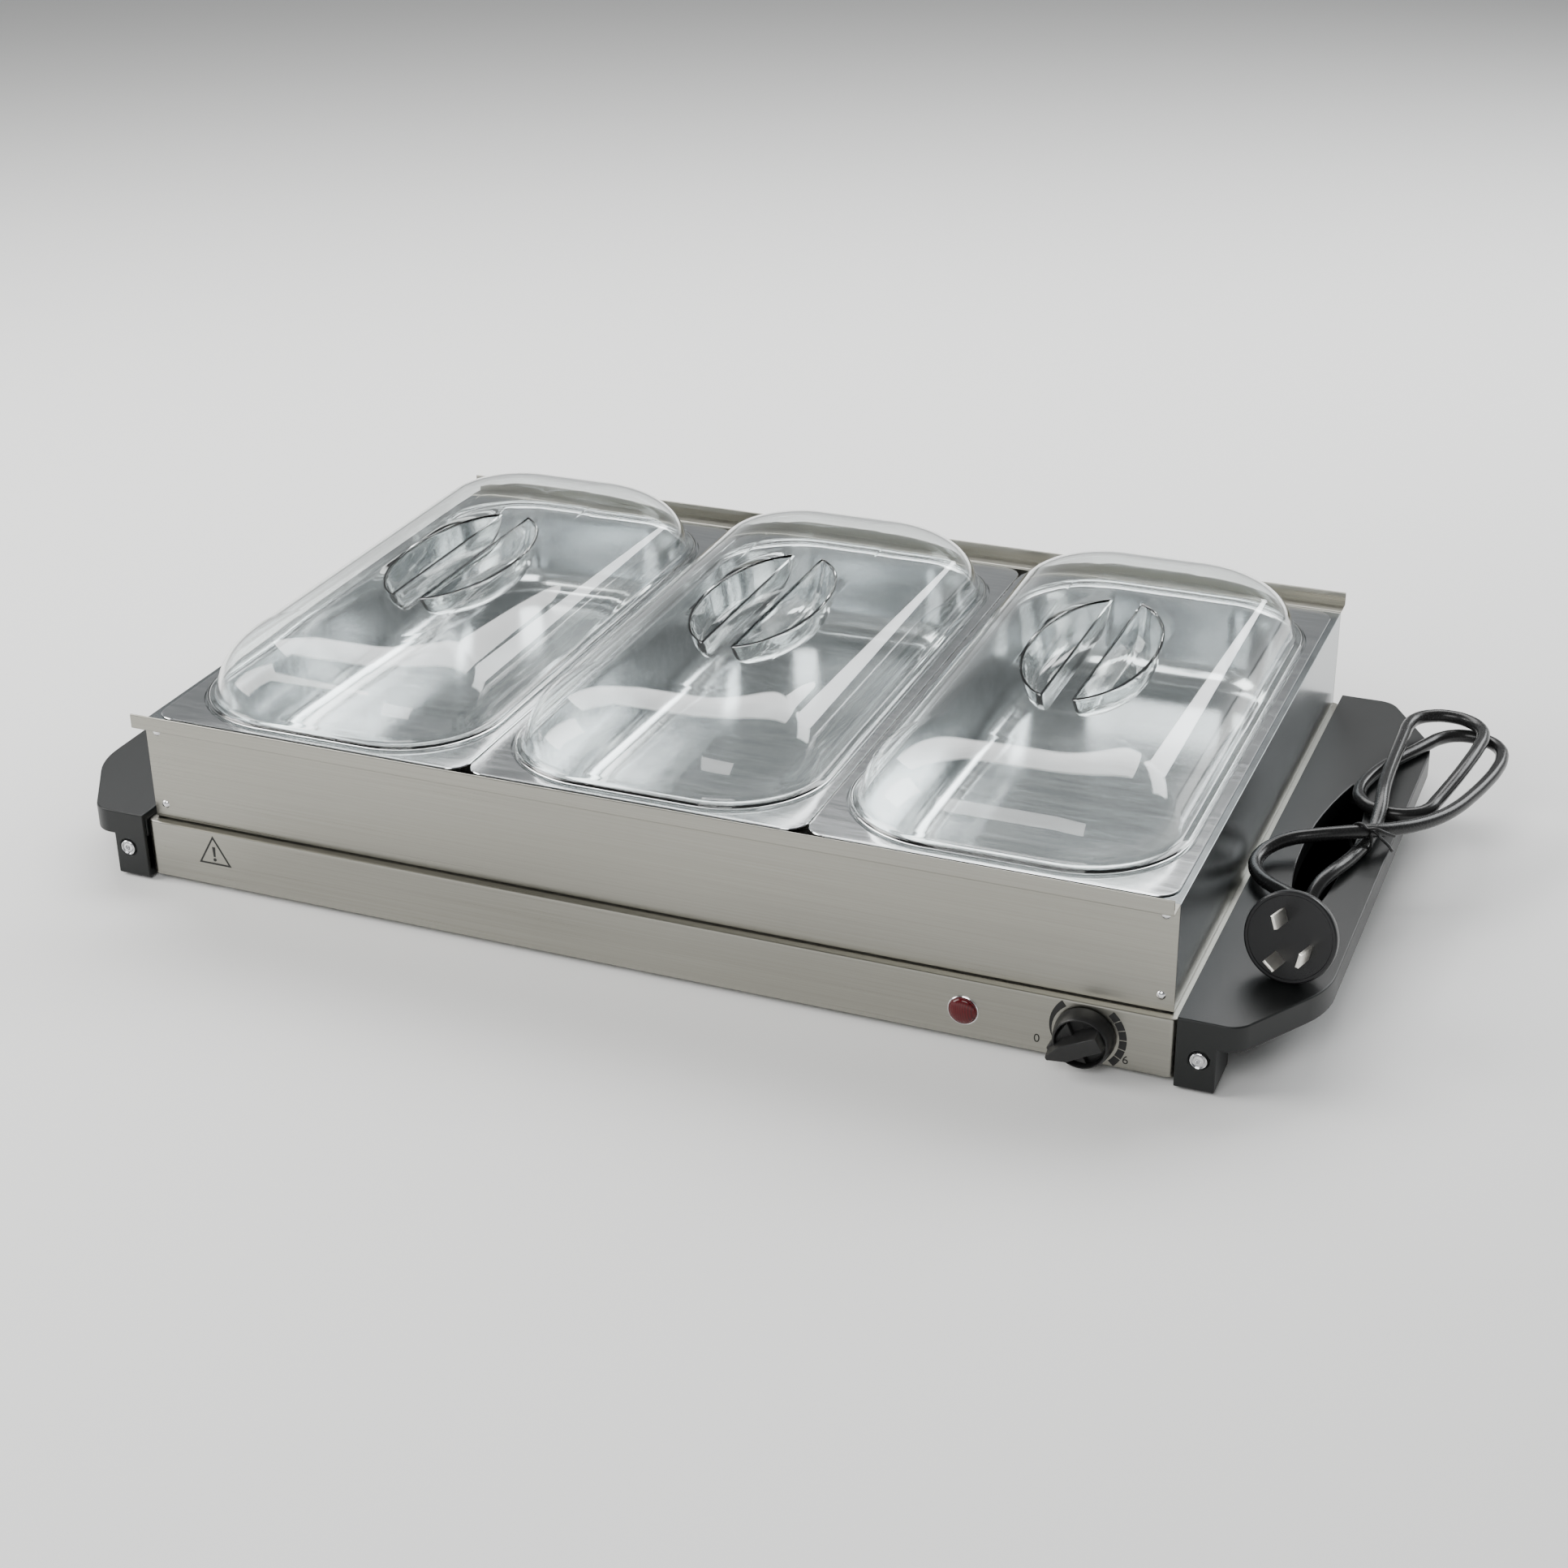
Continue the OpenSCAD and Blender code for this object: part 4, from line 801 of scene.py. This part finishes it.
def softened(node, width, finish=None, segments=2):
    """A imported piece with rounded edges, in its own finish unless another is given."""
    bm = bmesh.new()
    bm.from_mesh(nodes[node].data)
    bmesh.ops.remove_doubles(bm, verts=bm.verts, dist=1e-6)
    bmesh.ops.dissolve_limit(bm, angle_limit=math.radians(0.5), verts=bm.verts, edges=bm.edges,
                             use_dissolve_boundaries=False)
    slot = slot_of[node]
    thing = piece(bm, "soft_" + node, nodes[node]["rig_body"], finish or FINISHES[slot],
                  (node,))
    return round_edges(thing, width, segments)


for node in ("handle_left", "handle_right"):
    softened(node, 0.7, segments=3)
for node in ("frame_left", "frame_right"):
    softened(node, 0.2, rolled)
for node in ("crossbar_left", "crossbar_right", "thermostat_bracket", "heat_shield"):
    softened(node, 0.15)
for node in ("terminal_block", "element_clamps"):
    softened(node, 0.25)

# %% [markdown]
# ## The handles' screws
#
# Each screw has a round washer head with a groove and a deep socket, so it is turned like the lamp.
# The four places follow from the base's ends and lower edge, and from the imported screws' reach.

# %% Turn the screws
SCREW_X, SCREW_Z = BASE_X + 10.5, base_low.z + 14.0
HEAD_OUT = 1.0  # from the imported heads' faces back to zero in the profile below
screw_head = [(0, -0.9), (1.0, -0.9), (1.35, 0.6), (2.3, 0.45), (2.75, -0.4), (3.1, -0.4), (3.3, 0.6),
              (3.6, 0.8), (3.85, 0.6), (4.0, 0.1), (4.0, -1), (2, -1), (2, -13), (0, -13)]
screw_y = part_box("handle_screws")[1].y / MM - BODY_Y - HEAD_OUT
screws = bmesh.new()
for side in (-1, 1):
    for face in (-1, 1):
        stand = (Matrix.Translation(Vector((side * SCREW_X, BODY_Y + face * screw_y, SCREW_Z)) * MM)
                 @ Matrix.Rotation(math.radians(-90 * face), 4, "X"))
        join(screws, lathe(screw_head, 40, stand))
piece(screws, "handle_screw_heads", "base", plated, ("handle_screws",))
print("screws at", round(SCREW_X, 1), round(screw_y, 1), round(SCREW_Z, 1))

# %% [markdown]
# ## The knob
#
# The knob has a skirt, and a raised bar that is blunt behind and runs out into a beak. The skirt
# is turned, and the bar is a block whose end is drawn to a point and whose edges are rounded.

# %% Mould the knob
CONTROL_Z = 17.0  # the height of the knob and of the lamp
KNOB_AT = Vector((222.5, FRONT_Y, CONTROL_Z))
KNOB_REST = math.radians(207)
BAR_FOOT, BAR_TOP = 2.0, 14.9
skirt = [(0, 4.6), (10.5, 4.6), (11.1, 5.1), (11.4, 8.4), (11.7, 8.9), (12.2, 8.9), (12.6, 8.4),
         (13.3, 6.4), (13.8, 3), (14, 1.2), (13.6, 1), (0, 1)]


def on_front(at):
    """A place on the front panel, with the piece's own Z axis facing out."""
    return Matrix.Translation(at * MM) @ Matrix.Rotation(math.pi / 2, 4, "X")


knob_place = on_front(KNOB_AT) @ Matrix.Rotation(KNOB_REST, 4, "Z")


def grip_bar():
    """The raised bar, widest in its middle and thin where it runs out in front."""
    bm = bmesh.new()
    bmesh.ops.create_cube(bm, size=1.0)
    for v in bm.verts:
        fore, outer = v.co.x > 0, v.co.z > 0
        length = (15.2 if outer else 16.4) if fore else -11.2
        half = (0.9 if outer else 1.6) if fore else (3.5 if outer else 4.6)
        v.co = Vector((length, math.copysign(half, v.co.y), BAR_TOP if outer else BAR_FOOT)) * MM
    lengthwise = [e for e in bm.edges if abs(e.verts[0].co.x - e.verts[1].co.x) > 10 * MM]
    bmesh.ops.subdivide_edges(bm, edges=lengthwise, cuts=2, use_grid_fill=True)
    for v in bm.verts:
        if 0 < v.co.x < 8 * MM or -6 * MM < v.co.x < 0:
            v.co.y = math.copysign(3.6 * MM if v.co.z > 8 * MM else 4.9 * MM, v.co.y)
    bevel(bm, [e for e in bm.edges if e.calc_face_angle(0) > 0.5], 0.4, 3)
    bmesh.ops.transform(bm, matrix=knob_place, verts=bm.verts)
    return bm


def beak():
    """The wedge under the bar that points at the scale."""
    bm = bmesh.new()
    bmesh.ops.create_cube(bm, size=1.0)
    for v in bm.verts:
        fore = v.co.x > 0
        v.co = Vector((17.0 if fore else 2.0, math.copysign(1.3 if fore else 11.0, v.co.y),
                       (7.0 if fore else 7.3) if v.co.z > 0 else 1.2)) * MM
    bevel(bm, bm.edges, 0.7, 3)
    bmesh.ops.transform(bm, matrix=knob_place, verts=bm.verts)
    return bm


knob = join(join(lathe(skirt, 72, knob_place), grip_bar()), beak())
piece(knob, "knob", "knob", knob_black, ("control_knob",))

# %% [markdown]
# ## The lamp
#
# The lens is a low red dome in a thin ring. Both are turned.

# %% Turn the lamp's lens
lamp_place = on_front(Vector((166.0, FRONT_Y, CONTROL_Z)))
LAMP_STEPS = 64
dome = [(0, 2.75)] + [(6.3 * math.sin(math.radians(a)), 0.95 + 1.8 * math.cos(math.radians(a)))
                      for a in range(15, 91, 15)]
stem = [(6.6, 0.9), (6.75, 0.5), (6.75, 0.02), (3.9, 0.02), (3.9, -3.9), (0, -3.9)]
ring = [(6.7, 0.0), (7.3, 0.0), (7.3, 0.35), (7.0, 0.6), (6.7, 0.5), (6.7, 0.0)]
piece(lathe(dome + stem, LAMP_STEPS, lamp_place), "lamp_lens", "base", lamp_red,
      ("indicator_lens",))
piece(lathe(ring, LAMP_STEPS, lamp_place), "lamp_ring", "base", plated)

# %% [markdown]
# ## Printed numbers
#
# The scale round the knob gets plain numbers at its two ends. Each is a text object that is made a
# mesh first, so that its place can be applied, and stands a tenth of a millimetre proud.

# %% Print the numbers
NUMBER_SIZE, INK_HALF = 6.0, 0.05
NUMBERS = (("0", 200.5, 10.0), ("6", 241.0, 7.8))  # each number's middle along and up the front


def number(word, x, z):
    """One printed number on the front panel."""
    text = bpy.data.curves.new("number_" + word, "FONT")
    text.body = word
    text.size = NUMBER_SIZE * MM
    text.align_x, text.align_y = "CENTER", "CENTER"
    text.extrude = INK_HALF * MM
    spare = add("spare", text)
    bpy.context.view_layer.update()
    mesh = bpy.data.meshes.new_from_object(spare)
    bpy.data.objects.remove(spare)
    mesh.transform(on_front(Vector((x, FRONT_Y - INK_HALF, z))))
    mesh.materials.clear()
    mesh.materials.append(ink.material)
    thing = add("printed_" + word, mesh)
    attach(thing, "base")


for word, x, z in NUMBERS:
    number(word, x, z)

# %% [markdown]
# ## The studio
#
# Four large soft lamps stand round a pale floor. The one above and behind lays long highlights along
# the pans' walls, and the others light the front, the left end and the far edges, so the right end
# stays darker. The sky is brightest near the horizon, which the steel panels mirror.

# %% Floor and lamps
FLOOR_HALF = 6.0  # metres
SKY_LOW, SKY_ALL = 0.85, 0.16  # the sky's light near the horizon, and everywhere
bm = bmesh.new()
bmesh.ops.create_grid(bm, x_segments=1, y_segments=1, size=FLOOR_HALF)
floor_mesh = bpy.data.meshes.new("floor")
bm.to_mesh(floor_mesh)
bm.free()
floor = add("floor", floor_mesh)
pale = Finish("pale_floor", (0.92, 0.92, 0.91), 0.8)
floor_mesh.materials.append(pale.material)

world = bpy.data.worlds.new("studio")
world.use_nodes = True
bpy.context.scene.world = world
sky = world.node_tree
toward = sky.nodes.new("ShaderNodeTexCoord").outputs["Generated"]
parts = sky.nodes.new("ShaderNodeSeparateXYZ")
sky.links.new(toward, parts.inputs[0])
height = Wire(sky, parts.outputs["Z"])
low_sky = (1.0 - abs(height)) ** 4.0
connect(sky, sky.nodes["Background"].inputs["Color"], (0.97, 0.99, 1.0, 1))
connect(sky, sky.nodes["Background"].inputs["Strength"], low_sky * SKY_LOW + SKY_ALL)


def softbox(name, at, aim, size, power, colour=(1, 1, 1)):
    """A rectangular lamp that faces a point, in metres and watts."""
    lamp = bpy.data.lights.new(name, "AREA")
    lamp.shape = "RECTANGLE"
    lamp.size, lamp.size_y = size
    lamp.energy = power
    lamp.color = colour
    thing = add(name, lamp)
    thing.location = at
    thing.rotation_euler = (Vector(aim) - Vector(at)).to_track_quat("-Z", "Y").to_euler()


softbox("above", (-0.35, 0.85, 1.25), (0, 0.05, 0), (1.9, 0.7), 30)
softbox("left", (-1.6, -0.7, 1.1), (0, 0, 0.05), (1.0, 1.4), 36, (1.0, 0.99, 0.97))
softbox("front", (0.1, -2.1, 1.8), (0.05, 0, 0.05), (1.5, 1.1), 30)
softbox("rear", (1.1, 1.5, 1.0), (0, 0, 0.05), (1.0, 0.7), 20, (0.97, 0.99, 1.0))
print("studio ready")

# %% Bring the scene up to date
bpy.context.view_layer.update()
